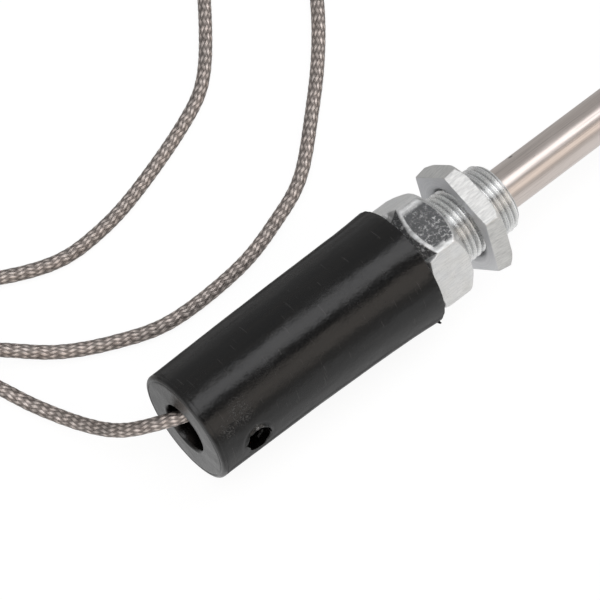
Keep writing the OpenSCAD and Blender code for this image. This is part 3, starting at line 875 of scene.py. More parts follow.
def build_boot():
    outer = dense([(0.0, 6.7), (0.0, 11.7)], 0.4)
    # a fine line round the face's edge, the small rounded edge, and the mould's line
    outer += [(0.03, 11.8), (0.12, 11.88), (0.14, 11.95), (0.04, 12.05), (0.0, 12.15)]
    for k in range(1, 9):
        t = math.pi / 2 * k / 8
        outer.append((0.85 - 0.85 * math.cos(t), 12.17 + 0.85 * math.sin(t)))
    outer += [(1.05, 13.03), (1.16, 13.0), (1.24, 12.9), (1.36, 12.88), (1.46, 12.97), (1.58, 13.02)]
    s = 1.7
    while s < 58.9:
        s += 0.14 if 5.5 < s < 14.5 else 0.32
        outer.append((min(s, 59.2), float(boot_outer(min(s, 59.2)))))
    lip = fillet([(59.2, 14.3), (59.95, 14.3, 0.3), (59.95, 11.7, 0.25), (59.0, 10.62, 0.3), (44, 10.62)], 4)
    inner = [(41, 10.62), (39.8, 9.8), (20, 9.7), (6.2, 9.6), (5.2, 8.6), (5.0, 6.2), (4.6, 5.82), (2.5, 5.8), (0.7, 5.8), (0.28, 5.93), (0.05, 6.2), (0.0, 6.4)]
    prof = outer + lip[1:] + inner
    # columns are close together round the side hole
    ang, a = [], 0.0
    while a < 360.0 - 0.2:
        ang.append(math.radians(a))
        near = abs((a - 80 + 180) % 360 - 180)
        a += 0.55 if near < 24 else 1.25
    n_outer = len(outer)

    def shape(s, a, r, i):
        x, y = s, np.sin(a) * r
        z = np.cos(a) * r
        pts = np.stack([x, y, z], -1).reshape(-1, 3)
        out = (i < n_outer + 3) & (s > 0.2)
        d = 0.07 * fbm(pts / 9.0, 2, 3).reshape(s.shape)
        d += 0.022 * fbm(pts / 1.6, 3, 8).reshape(s.shape)
        # soft sink marks and the moulding's faint flats along the body
        d += 0.035 * np.cos(3 * a + 0.7) * np.clip((s - 2) / 10, 0, 1)
        # ragged parting flash on the front rim
        rim = np.clip((s - 58.4) / 1.2, 0, 1) * (i < n_outer + 6)
        d += rim * 0.12 * fbm(pts / 0.9, 2, 21).reshape(s.shape)
        # raised, torn edge round the side hole
        dist = np.hypot(s - HOLE_S, (a - HOLE_A) * 13.2)
        turn = np.arctan2((a - HOLE_A) * 13.2, s - HOLE_S)
        tear = 0.5 + 0.8 * fbm(pts / 0.8, 2, 40).reshape(s.shape)
        upper = np.exp(-(((turn + 1.4) / 0.75) ** 2))
        ring = np.exp(-(((dist - HOLE_R - 0.22) / 0.26) ** 2))
        d += np.where(dist < 6, ring * (0.14 + 0.40 * upper) * np.clip(tear, 0.1, 1.3), 0)
        d -= np.where(dist < 6, 0.10 * np.exp(-(((dist - HOLE_R - 0.95) / 0.4) ** 2)), 0)
        # rubbed patch between the hole and the rear end, with a raised scratch
        patch = np.exp(-(((s - 8) / 3.4) ** 2 + ((a - math.radians(42)) * 13.2 / 1.9) ** 2))
        d += patch * 0.09 * fbm(pts / 0.5, 2, 60).reshape(s.shape)
        line_a = 41 + 3.2 * np.sin(s * 0.9) + (s - 2) * -0.4
        scr = np.exp(-(((a - np.radians(line_a + 6)) * 13.2 / 0.16) ** 2)) * np.clip(1 - np.abs(s - 4) / 3.0, 0, 1)
        d += 0.09 * scr
        r = r + np.where(out, d, 0.0)
        # the rear face is very slightly dished and uneven
        back = (i < n_outer) & (s <= 0.2)
        s = s + np.where(back, 0.05 * fbm(pts / 4.0, 2, 77).reshape(s.shape) + 0.05, 0.0)
        # the front lip's face is wavy
        front = (s > 59.5) & (i > n_outer - 2)
        s = s - np.where(front, 0.10 * np.clip(fbm(pts / 2.2, 2, 91).reshape(s.shape), -0.2, 1), 0.0)
        return s, r

    def bowed(s, r, a):
        # the soft moulding has taken a slight bow; its bore keeps to the collar
        p = mm(s, r, a)
        k = 0.27 * MM * np.sin(math.pi * np.clip((s - 1) / 57, 0, 1)) * np.clip((r - 11.8) / 1.0, 0, 1)
        p[..., 1] += 0.93 * k
        p[..., 2] += 0.37 * k
        return p

    o = lathe("boot_shell", prof, MATS["boot"], "boot_shell", cols=np.array(ang), shape=shape, closed=True, place=bowed)
    # the side hole, drilled with a slightly torn outline
    n = 120
    t = np.arange(n) * 2 * math.pi / n
    rr = HOLE_R + 0.09 * np.sin(3 * t + 1.0) + 0.03 * np.sin(7 * t) + 0.02 * np.sin(11 * t + 2)
    rr += 0.55 * np.exp(-(((t - 2.95) / 0.1) ** 2)) + 0.25 * np.exp(-(((t - 2.2) / 0.12) ** 2)) - 0.28 * np.exp(-(((t - 3.5) / 0.16) ** 2))
    rr += 0.3 * np.exp(-(((t - 5.0) / 0.2) ** 2))
    ax = np.array([0, -math.sin(HOLE_A), math.cos(HOLE_A)])
    e1 = np.array([1.0, 0, 0])
    e2 = np.cross(ax, e1)
    rings = []
    for depth, k in ((7.0, 1.0), (9.0, 1.0), (11.0, 0.985), (12.6, 1.0), (13.1, 1.03), (14.8, 1.09)):
        c = np.array([X0 + HOLE_S, 0, AZ]) + ax * depth
        rings.append(c + (rr * k)[:, None] * (np.cos(t)[:, None] * e1 + np.sin(t)[:, None] * e2))
    v = np.vstack(rings) * MM
    faces = [tuple(f) for f in grid_faces(len(rings), n).tolist()]
    faces += [tuple(range(n)), tuple(range((len(rings) - 1) * n, len(rings) * n))[::-1]]
    cutter = new_mesh("cutter", v, faces, MATS["boot"], None)
    outward(cutter)
    m = o.modifiers.new("hole", "BOOLEAN")
    m.operation, m.solver, m.object = "DIFFERENCE", "EXACT", cutter
    while o.modifiers.find("hole") > 0:
        o.modifiers.move(o.modifiers.find("hole"), 0)
    dg = bpy.context.evaluated_depsgraph_get()
    o.modifiers.remove(o.modifiers["normals"])
    dg.update()
    me = bpy.data.meshes.new_from_object(o.evaluated_get(bpy.context.evaluated_depsgraph_get()))
    o.modifiers.clear()
    o.data = me
    bpy.data.objects.remove(cutter)
    w = o.modifiers.new("normals", "WEIGHTED_NORMAL")
    w.mode, w.weight = "FACE_AREA", 50
    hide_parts("boot")
    return o


def build_flash():
    """The moulding's gate tag on the front rim, a small torn flake."""
    a0 = math.radians(116)
    n, rows = 20, 14
    t = np.arange(n) * 2 * math.pi / n
    rings = []
    for k in range(rows):
        u = k / (rows - 1)
        # from inside the rim outwards
        depth = 14.0 + 0.95 * u
        w = (1.0 - 0.55 * u) * (0.95 - 0.1 * math.sin(6 * u))
        h = 0.42 * (1 - 0.5 * u)
        cs, ca = 59.35 + 0.35 * u, a0 + 0.02 * math.sin(5 * u)
        wob = 1 + 0.18 * np.sin(3 * t + 4 * u) + 0.1 * np.sin(5 * t + 1)
        s = cs + h * np.sin(t) * wob
        a = ca + w * np.cos(t) * wob / 14.0
        rings.append(mm(s, depth + 0.08 * np.sin(2 * t), a))
    v = np.vstack(rings)
    faces = [tuple(f) for f in grid_faces(rows, n).tolist()]
    faces += [tuple(range(n)), tuple(range((rows - 1) * n, rows * n))[::-1]]
    o = new_mesh("boot_flash_tag", v, faces, MATS["boot"], None)
    outward(o)
    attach(o, "boot_shell")
    return o


build_boot()
build_flash()


# ---------------------------------------------------------------- the gland


def soft_min(a, b, k):
    h = np.clip(0.5 + 0.5 * (b - a) / k, 0, 1)
    return b * (1 - h) + a * h - k * h * (1 - h)


def hex_radius(a, corner, apothem):
    t = (a - corner) % (math.pi / 3) - math.pi / 6
    return apothem / np.cos(t)


def set_attr(o, name, values):
    at = o.data.attributes.new(name, "FLOAT", "POINT")
    at.data.foreach_set("value", np.asarray(values, np.float32))


def build_hexagon():
    """Collar and hexagon in one: chamfered at both ends, with pickled dark areas
    left between the bright rubbed edges."""
    corner = math.radians(32)
    n = 480
    ang = np.arange(n) * 2 * math.pi / n + corner
    cham = [(S_HEX, 10.8), (61.1, 11.2), (62.15, 12.0), (63.75, 13.98), (67.6, 13.98), (68.8, 13.25), (69.7, 12.3), (S_FACE, 11.75)]
    rows = [(s, 0) for s in np.arange(S_HEX + 0.06, S_FACE - 0.05, 0.11)]
    S = np.array([r[0] for r in rows])[:, None] * np.ones((1, n))
    A = np.ones((len(rows), 1)) * ang[None, :]
    rc = np.interp(S, [c[0] for c in cham], [c[1] for c in cham])
    plain = [(S_HEX, 11.6), (61.0, 13.2), (61.7, 13.98)] + cham[4:]
    rc2 = np.interp(S, [c[0] for c in plain], [c[1] for c in plain])
    signed = (np.degrees(A) - 2 + 180) % 360 - 180
    mid_off = np.abs(signed)
    near_flat = 1 - np.where(signed > 0, np.clip((mid_off - 29.5) / 3.5, 0, 1), np.clip((mid_off - 38) / 12, 0, 1))
    rc = rc * near_flat + rc2 * (1 - near_flat)
    rh = hex_radius(A, corner, 12.0)
    R = soft_min(rh, rc, 0.34)
    # the far corner of the near flats is rubbed rounder than the others
    off = (np.degrees(A) + 28 + 180) % 360 - 180
    R = soft_min(R, 14.3 - 0.85 * np.exp(-((off / 9.0) ** 2)), 0.35)
    flat_i = np.floor(((A - corner) % (2 * math.pi)) / (math.pi / 3) + 1e-6).astype(int) % 6
    # 0 is the flat between 32 and 92 degrees, 5 the one between -28 and 32
    dark_flat = np.array([0.0, 0.15, 0.9, 0.0, 0.1, 1.0])[flat_i]
    t = np.abs((A - corner) % (math.pi / 3) - math.pi / 6) * 12.0
    pts = np.stack([S, R * np.sin(A), R * np.cos(A)], -1).reshape(-1, 3)
    wob = fbm(pts / 1.5, 2, 4).reshape(S.shape)
    front_ok = (S > 66.5) | (rc - rh - 0.72 + 0.25 * wob > 0)
    on_flat = np.clip((np.where(S > 66.5, rc - rh + 0.1, rc - rh - 0.6)) / 0.35 + 0.35 * wob, 0, 1) * np.clip((5.75 - t) / 0.5, 0, 1)
    near_round = np.clip((off - 5.0) / 6.0, 0, 1)
    on_flat = on_flat * np.where(flat_i == 5, near_round, 1.0) * np.where(front_ok, 1, 0.6)
    on_rear = np.clip((rh - rc - 0.10) / 0.22 + 0.25 * wob, 0, 1) * (S < 64.2)
    rear_dark = np.array([0.35, 0.2, 0.9, 0.3, 0.3, 1.0])[flat_i]
    rough = np.clip(on_flat * dark_flat + on_rear * rear_dark * near_flat, 0, 1)
    rough = np.maximum(rough, np.clip(0.34 + 0.4 * wob, 0, 1) * near_flat * np.clip((28.2 - mid_off) / 1.5, 0, 1))
    grain = fbm(pts / 0.42, 3, 14).reshape(S.shape)
    R = R + 0.010 * fbm(pts / 1.3, 2, 33).reshape(S.shape) - 0.075 * rough * (1 + grain)
    # a small closing nick at the front of the near corner
    for (s0, a0, w, dep) in ((68.9, 32, 0.55, 0.22), (69.1, 92, 0.4, 0.15), (66.4, 30, 0.35, 0.06)):
        dd = np.hypot(S - s0, ((A - math.radians(a0) + math.pi) % (2 * math.pi) - math.pi) * 13)
        R = R - dep * np.exp(-((dd / w) ** 2))
    v = mm(S, R, A).reshape(-1, 3)
    # rear: in to the collar, then along it and down its bore; front: in to the stem
    rear = fillet([(S_HEX, 10.9), (S_HEX, 10.5, 0.12), (45.0, 10.5, 0.1), (44.2, 9.7, 0.1), (44.2, 8.95)], 2) + [(46.0, 8.95), (59.7, 8.95)]
    rear = dense(rear, 3.0)
    front = [(S_FACE - 0.02, 11.6), (S_FACE, 11.4), (S_FACE, 9.6), (S_FACE, 7.5), (S_FACE + 0.2, 7.3)]
    blocks, rough_all = [], []
    for s_, r_ in reversed(rear):
        blocks.append(mm(s_, r_, ang))
        rough_all.append(np.zeros(n))
    blocks.append(v.reshape(len(rows), n, 3).reshape(-1, 3))
    rough_all.append(rough.reshape(-1))
    for s_, r_ in front:
        blocks.append(mm(s_, r_, ang))
        rough_all.append(np.zeros(n))
    v = np.vstack(blocks)
    total = len(v) // n
    faces = [tuple(f) for f in grid_faces(total, n, True).tolist()]
    o = new_mesh("gland_hexagon", v, faces, MATS["zinc"], None)
    set_attr(o, "rough", np.concatenate(rough_all))
    outward(o)
    w = o.modifiers.new("normals", "WEIGHTED_NORMAL")
    w.mode, w.weight = "FACE_AREA", 50
    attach(o, "probe")
    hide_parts("gland_body")
    return o


def build_thread():
    """The stem's helical thread: 1.337 mm a turn, 0.8 mm deep, chamfered end."""
    pitch, per, n = 1.337, 16, 160
    s0, s1 = S_FACE - 0.3, S_STEM
    rows = int((s1 - s0) / pitch * per) + per + 1
    i = np.arange(rows)[:, None] * np.ones((1, n))
    a = np.ones((rows, 1)) * (np.arange(n) * 2 * math.pi / n)[None, :]
    s = s0 - pitch + (i / per + a / (2 * math.pi)) * pitch
    ph = (i / per) % 1.0
    t = np.abs((ph + 0.5) % 1.0 - 0.5) * 2
    g = 0.55 * np.clip((t - 0.13) / 0.74, 0, 1) + 0.45 * (0.5 - 0.5 * np.cos(math.pi * t))
    # mask of the thread's roots, darkened in the thread's material as painted shade
    root = np.clip((g - 0.62) / 0.3, 0, 1)
    pts = np.stack([s, np.sin(a) * 8, np.cos(a) * 8], -1).reshape(-1, 3)
    worn = fbm(pts / 1.1, 2, 50).reshape(s.shape)
    r = 8.33 - 0.80 * g - 0.02 * np.clip(worn, 0, 1) * (1 - g)
    r = np.minimum(r, 8.33 - np.clip(s - (s1 - 1.15), 0, 2) * 0.85)
    r = np.minimum(r, 8.33)
    s = np.clip(s, s0, s1)
    v = mm(s, r, a).reshape(-1, 3)
    # quads follow the helix, so the seam joins each row to the one a turn on
    faces = []
    for k in range(rows - 1):
        for c in range(n - 1):
            faces.append((k * n + c, k * n + c + 1, (k + 1) * n + c + 1, (k + 1) * n + c))
    for k in range(rows - per - 1):
        faces.append((k * n + n - 1, (k + per) * n, (k + per + 1) * n, (k + 1) * n + n - 1))
    me_v = v
    o = new_mesh("stem_thread", me_v, faces, MATS["thread"], None)
    set_attr(o, "root", root.reshape(-1))
    bm = bmesh.new()
    bm.from_mesh(o.data)
    bmesh.ops.remove_doubles(bm, verts=bm.verts, dist=2e-6)
    bmesh.ops.dissolve_degenerate(bm, edges=bm.edges, dist=2e-6)
    bm.to_mesh(o.data)
    bm.free()
    # the end face with the sheath's hole, and a plain core that closes the rear
    prof = fillet([(S_FACE - 0.3, 5.05), (S_STEM, 5.05, 0.15), (S_STEM, 7.42)], 3)
    end = [(S_STEM, 5.3), (S_STEM - 0.12, 5.03), (S_FACE - 0.3, 5.03), (S_FACE - 0.3, 7.3), (S_STEM - 1.2, 7.38), (S_STEM - 0.3, 7.4), (S_STEM + 0.005, 7.36)]
    e = lathe("stem_end", fillet([(*p, 0.05) for p in end], 2), MATS["zinc"], "probe", 160, closed=True)
    set_attr(e, "rough", np.zeros(len(e.data.vertices)))
    bm = bmesh.new()
    bm.from_mesh(o.data)
    bmesh.ops.recalc_face_normals(bm, faces=bm.faces)
    # outwards means away from the axis
    bm.faces.ensure_lookup_table()
    votes = 0
    for f in list(bm.faces)[:: max(1, len(bm.faces) // 400)]:
        c = f.calc_center_median()
        d = Vector((0, c.y, c.z - AZ * MM))
        votes += 1 if f.normal.dot(d) > 0 else -1
    if votes < 0:
        bmesh.ops.reverse_faces(bm, faces=bm.faces)
    bm.to_mesh(o.data)
    bm.free()
    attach(o, "probe")
    return o


def build_nut():
    """Thin lock nut: flats that lean out towards the front, a turned rear face
    with a countersink, a smooth bore that clears the thread's crests."""
    corner = math.radians(38)
    n = 360
    ang = np.arange(n) * 2 * math.pi / n + corner
    L = S_NUT1 - S_NUT
    S = (np.arange(0.0, L + 1e-6, L / 44)[1:-1] + S_NUT)[:, None] * np.ones((1, n))
    A = np.ones((len(S), 1)) * ang[None, :]
    u = (S - S_NUT) / L
    rh = hex_radius(A, corner, 12.0 + 0.6 * u)
    rc = np.interp(S, [S_NUT, S_NUT + 0.06, S_NUT + 0.35, S_NUT1 - 1.25, S_NUT1 - 0.4, S_NUT1], [13.55, 13.75, 14.6, 14.6, 13.75, 13.15])
    R = soft_min(rh, rc, 0.22)
    pts = np.stack([S, R * np.sin(A), R * np.cos(A)], -1).reshape(-1, 3)
    R = R + 0.012 * fbm(pts / 1.4, 2, 71).reshape(S.shape)
    # draw marks along the flats
    R = R + 0.014 * noise3(np.stack([pts[:, 0] / 6, pts[:, 1] / 0.33, pts[:, 2] / 0.33], -1), 23).reshape(S.shape)
    for (s0, a0, w, dep) in ((S_NUT1 - 0.5, 38, 0.5, 0.25), (S_NUT1 - 0.4, -22, 0.45, 0.22), (S_NUT1 - 0.5, 98, 0.4, 0.15), (S_NUT + 0.4, 20, 0.25, 0.08)):
        dd = np.hypot(S - s0, ((A - math.radians(a0) + math.pi) % (2 * math.pi) - math.pi) * 13.5)
        R = R - dep * np.exp(-((dd / w) ** 2))
    edge = lambda r_lim, k: np.minimum(hex_radius(ang, corner, k), r_lim)
    blocks, face = [], []

    def add(s_, r_, f_):
        blocks.append(mm(s_, r_, ang))
        face.append(np.full(n, f_))

    # rear face, from the bore's countersink out
    add(S_NUT1 - 0.75, 8.375, 1.0)
    add(S_NUT + 2.0, 8.375, 1.0)
    add(S_NUT + 0.95, 8.375, 1.0)
    add(S_NUT + 0.82, 8.45, 1.0)
    add(S_NUT + 0.08, 9.55, 1.0)
    add(S_NUT + 0.02, 9.68, 1.0)
    add(S_NUT, 9.85, 1.0)
    for k in (10.4, 11.0, 11.5):
        add(S_NUT + 0.012 * math.sin(k * 9), np.minimum(k, edge(13.4, 11.8) - 0.15), 1.0)
    add(S_NUT, edge(13.45, 11.86), 1.0)
    add(S_NUT + 0.02, edge(13.5, 11.95), 0.6)
    blocks.append(mm(S, R, A).reshape(-1, 3))
    face.append(np.zeros(S.size))
    add(S_NUT1 - 0.02, edge(13.1, 12.5), 0.5)
    add(S_NUT1, edge(13.0, 12.42), 1.0)
    for k in (12.0, 11.2, 10.3):
        add(S_NUT1, np.minimum(k, edge(12.9, 12.3)), 1.0)
    add(S_NUT1, 9.75, 1.0)
    add(S_NUT1 - 0.04, 9.6, 1.0)
    add(S_NUT1 - 0.62, 8.45, 1.0)
    v = np.vstack(blocks)
    total = len(v) // n
    faces = [tuple(f) for f in grid_faces(total, n, True).tolist()]
    o = new_mesh("lock_nut_body", v, faces, MATS["nut"], None)
    set_attr(o, "face", np.concatenate(face))
    outward(o)
    w = o.modifiers.new("normals", "WEIGHTED_NORMAL")
    w.mode, w.weight = "FACE_AREA", 50
    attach(o, "nut")
    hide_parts("lock_nut")
    return o


build_hexagon()
build_thread()
build_nut()


# ---------------------------------------------------------------- sheath, nose, rod
def build_front():
    p = fillet(
        [(S_STEM - 0.6, 4.85), (S_STEM - 0.6, 5.0), (S_SHEATH - 0.9, 5.0, 0.9), (S_SHEATH + 0.02, 4.72, 0.12), (S_SHEATH + 0.02, 4.3, 0.1), (S_SHEATH - 3.0, 4.2), (S_STEM + 2, 4.2), (S_STEM - 0.6, 4.2)],
        5,
    )
    p = dense(p, 2.0)

    def wob(s, a, r, i):
        pts = np.stack([s / 14, np.sin(a) * 1.2, np.cos(a) * 1.2], -1).reshape(-1, 3)
        d = 0.012 * noise3(pts, 6).reshape(s.shape)
        dd = np.hypot(s - 94.5, ((a + math.radians(50) + math.pi) % (2 * math.pi) - math.pi) * 5)
        return s, r + np.where(r > 4.6, d - 0.12 * np.exp(-((dd / 0.35) ** 2)), 0)

    o = lathe("sheath", p, MATS["steel"], "probe", 144, shape=wob, closed=True)
    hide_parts("sheath_tube")
    s0 = S_SHEATH
    nose = fillet(
        [(s0 - 4.9, 1.62), (s0 - 4.9, 4.05, 0.1), (s0 + 0.04, 4.05), (s0 + 0.04, 4.62, 0.1), (s0 + 2.2, 4.72, 1.5), (s0 + 4.6, 3.5, 1.6), (S_NOSE - 0.15, 2.15, 0.5), (S_NOSE, 1.62)],
        5,
    )
    o = lathe(
        "ceramic_nose", dense(nose, 0.5), MATS["steatite"], "probe", 112, closed=True,
        shape=lambda s, a, r, i: (s, r + 0.02 * noise3(np.stack([s / 2.5, np.sin(a) * 2, np.cos(a) * 2], -1).reshape(-1, 3), 31).reshape(s.shape) * (r > 1.8)),
    )
    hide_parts("nose_insulator")
    rod = [(35.0, 0.0), (35.0, 1.3), (35.2, 1.5)]
    rod += [(s, 1.5) for s in np.arange(37, S_TIP - 1.2, 1.5)]
    rod += [(S_TIP - 1.0 + math.sin(t) * 1.0, 0.5 + math.cos(t) * 1.0) for t in np.linspace(0, math.pi / 2, 8)] + [(S_TIP, 0.0)]
    o = lathe(
        "electrode", rod, MATS["rod"], "probe", 64,
        shape=lambda s, a, r, i: (s, r + 0.012 * noise3(np.stack([s / 1.7, np.sin(a) * 2, np.cos(a) * 2], -1).reshape(-1, 3), 12).reshape(s.shape) * (s > S_NOSE) * (r > 0.6)),
    )
    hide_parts("electrode_rod")


build_front()


# ---------------------------------------------------------------- the lead's end and ties
END = np.array([X0 + TAIL[-1][0], TAIL[-1][1], TAIL[-1][2]])
END_A = math.radians(-19)
E_DIR = np.array([math.cos(END_A), math.sin(END_A), 0.0])
E_LAT = np.array([-math.sin(END_A), math.cos(END_A), 0.0])


def along(u, v, w):
    """Metres of a point u along the end pieces, v sideways and w up."""
    u, v, w = np.broadcast_arrays(np.asarray(u, float), np.asarray(v, float), np.asarray(w, float))
    return (END + u[..., None] * E_DIR + v[..., None] * E_LAT + w[..., None] * np.array([0, 0, 1.0])) * MM


def along_lathe(s, r, a):
    s, r, a = np.broadcast_arrays(np.asarray(s, float), np.asarray(r, float), np.asarray(a, float))
    return along(s, r * np.sin(a), r * np.cos(a))


def rounded(hw, hh, r, n=6):
    """Outline of a rounded rectangle of half sizes hw, hh."""
    pts = []
    for cx, cy, a0 in ((hw - r, hh - r, 0), (-hw + r, hh - r, 90), (-hw + r, -hh + r, 180), (hw - r, -hh + r, 270)):
        for k in range(n + 1):
            t = math.radians(a0 + 90 * k / n)
            pts.append((cx + r * math.cos(t), cy + r * math.sin(t)))
    return np.array(pts)


def loft(name, rings, material, body, closed=False, weighted=True):
    n = len(rings[0])
    v = np.vstack(rings)
    faces = [tuple(f) for f in grid_faces(len(rings), n, closed).tolist()]
    if not closed:
        faces += [tuple(range(n)), tuple(range((len(rings) - 1) * n, len(rings) * n))[::-1]]
    o = new_mesh(name, v, faces, material, None, weighted=weighted)
    outward(o)
    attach(o, body)
    return o


def build_ties():
    """Two narrow ties round the coil's section, each with its head and cut tail."""
    made = []
    for num, deg in enumerate((10, 250)):
        t = math.radians(deg)
        rad = np.array([math.cos(t), math.sin(t), 0.0])
        tan = np.array([-math.sin(t), math.cos(t), 0.0])
        c = np.array([X0 + COIL_C[0], COIL_C[1], 0.0]) + rad * 19.0

        def P(x, y, z):
            x, y, z = np.broadcast_arrays(np.asarray(x, float), np.asarray(y, float), np.asarray(z, float))
            return (c + x[..., None] * rad + y[..., None] * tan + z[..., None] * np.array([0, 0, 1.0])) * MM

        path = rounded(5.15, 3.62, 1.9, 8) + (0, 3.95)
        m = len(path)
        nrm = np.roll(path, -1, 0) - np.roll(path, 1, 0)
        nrm /= np.linalg.norm(nrm, axis=1)[:, None]
        nrm = np.stack([nrm[:, 1], -nrm[:, 0]], -1)
        sec = rounded(0.24, 1.1, 0.2, 3)
        rings = []
        for i in range(m):
            ridge = 1.0 + 0.12 * (i % 2)
            q = path[i] + nrm[i] * 0.0
            rings.append(P(q[0] + nrm[i, 0] * sec[:, 0] * ridge, sec[:, 1], q[1] + nrm[i, 1] * sec[:, 0] * ridge))
        band = loft(f"coil_tie_{num + 1}", rings, MATS["tie"], "probe", closed=True)
        # head: a small box with a rounded top, on the outer side near the top
        hs = []
        for z, k in ((5.2, 0.86), (5.45, 1.0), (7.1, 1.0), (7.35, 0.9), (7.42, 0.72)):
            o = rounded(0.95 * k, 1.5 * k, 0.3, 4)
            hs.append(P(5.55 + o[:, 0] * 0.75, o[:, 1], np.full(len(o), z - 0.9)))
        head = loft(f"coil_tie_head_{num + 1}", hs, MATS["tie"], "probe")
        ts = []
        for k in range(7):
            u = k / 6
            o = rounded(0.22, 1.0 - 0.25 * (k == 6), 0.18, 3)
            ts.append(P(5.55 + o[:, 0] + 0.15 * u * u, o[:, 1], np.full(len(o), 6.3 + 1.6 * u)))
        tl = loft(f"coil_tie_end_{num + 1}", ts, MATS["tie"], "probe")
        made += [band, head, tl]
    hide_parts("coil_ties")
    return made


def build_end():
    sl = [(-4.0, 1.66), (-4.0, 2.02), (-3.7, 2.12)]
    sl += [(s, 2.2 - 0.05 * math.cos(s * 1.1)) for s in np.arange(-3.2, 5.6, 0.4)]
    sl += [(6.0, 1.95), (6.5, 1.55), (7.0, 1.34), (7.9, 1.3), (8.0, 1.25), (8.0, 1.1), (5.8, 1.1), (3.0, 1.62), (-2.0, 1.66)]
    sleeve = lathe(
        "shrink_sleeve", sl, MATS["shrink"], "probe", 72, closed=True, place=along_lathe,
        shape=lambda s, a, r, i: (s, r + (r > 1.8) * (0.035 * noise3(np.stack([s / 1.1, np.sin(a) * 1.4, np.cos(a) * 1.4], -1).reshape(-1, 3), 3).reshape(s.shape) + 0.025 * np.cos(2 * a + s * 0.5))),
    )
    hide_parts("braid_end_sleeve")
    wire = lathe(
        "inner_wire", [(0.3, 0.0), (0.3, 1.0)] + [(s, 1.05) for s in np.arange(0.8, 26, 0.7)] + [(26.1, 0.95), (26.2, 0.0)],
        MATS["white"], "probe", 48, place=along_lathe,
    )
    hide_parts("tail_wire")
    # crimp barrel and neck
    cr = [(22.4, 1.1), (22.4, 1.55), (22.6, 1.62)]
    cr += [(s, 1.62 - (0.16 * math.exp(-(((s - 24.9) / 0.7) ** 2)))) for s in np.arange(22.9, 27.3, 0.25)] + [(27.4, 1.5), (27.4, 1.1)]
    crimp = lathe("terminal_crimp", cr, MATS["tinned"], "probe", 48, closed=True, place=along_lathe)
    rings = []
    for u, hw, hh in ((26.6, 1.1, 0.5), (27.4, 1.3, 0.45), (28.3, 1.6, 0.4), (29.4, 2.2, 0.4), (30.0, 2.6, 0.38)):
        o = rounded(hw, hh, 0.2, 3)
        rings.append(along(np.full(len(o), u), o[:, 0], o[:, 1] - 0.3))
    neck = loft("terminal_neck", rings, MATS["tinned"], "probe")
    # receptacle: a flat floor whose two edges roll over, drawn as one bent strip
    strip = []
    for side in (-1, 1):
        arc = []
        for k in range(13):
            t = math.radians(-90 + 250 * k / 12)
            arc.append((side * (2.45 + 0.95 * math.cos(t)), 0.0 + 0.95 * math.sin(t)))
        strip.append(arc)
    mid = strip[0][::-1] + [(-1.2, -0.95), (0.0, -0.95), (1.2, -0.95)] + strip[1]
    mid = np.array(mid)
    tg = np.gradient(mid, axis=0)
    tg /= np.linalg.norm(tg, axis=1)[:, None]
    nm = np.stack([-tg[:, 1], tg[:, 0]], -1)
    outline = np.vstack([mid + nm * 0.19, (mid - nm * 0.19)[::-1]])
    us = [29.4, 29.6, 31.0, 33.0, 35.0, 36.6, 36.9]
    ks = [0.99, 1, 1, 1, 1, 1, 0.99]
    rings = [along(np.full(len(outline), u), outline[:, 0] * k, outline[:, 1] * k) for u, k in zip(us, ks)]
    rec = loft("terminal_receptacle", rings, MATS["tinned"], "probe")
    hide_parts("push_on_terminal")
    # soft cover: from a round neck to a flat mouth, with its wall and cavity
    def section(u, kk, shrink):
        # kk 0 is round, 1 is the flat mouth
        base = rounded(4.3 - shrink, 1.95 - shrink, max(0.25, 1.15 - shrink), 8)
        th = np.arctan2(base[:, 1] / 1.95, base[:, 0] / 4.3)
        rnd = np.stack([np.cos(th), np.sin(th)], -1) * (2.15 - shrink)
        o = rnd * (1 - kk) + base * kk
        return along(np.full(len(o), u), o[:, 0], o[:, 1])

    outs = [(20.0, 0, 0.12), (20.12, 0, 0.02), (21.0, 0, 0.0), (22.3, 0, 0.0)]
    outs += [(22.3 + 4.4 * k / 10, float(ease(k / 10)), 0.0) for k in range(1, 11)]
    outs += [(u, 1.0, 0.02 * math.sin(u * 2.2)) for u in np.arange(27.5, 37.0, 0.6)] + [(37.35, 1.0, 0.05), (37.5, 1.0, 0.2)]
    ins = [(37.45, 1.0, 0.5), (37.0, 1.0, 0.58), (29.4, 1.0, 0.6), (28.6, 0.85, 0.62), (25.0, 0.4, 0.6), (22.6, 0.0, 0.85), (20.1, 0.0, 1.05)]
    rings = [section(*k) for k in outs + ins]
    cover = loft("terminal_soft_cover", rings, MATS["cover"], "probe", closed=True)
    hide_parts("terminal_cover")
    return [sleeve, wire, crimp, neck, rec, cover]


ties = build_ties()
ends = build_end()


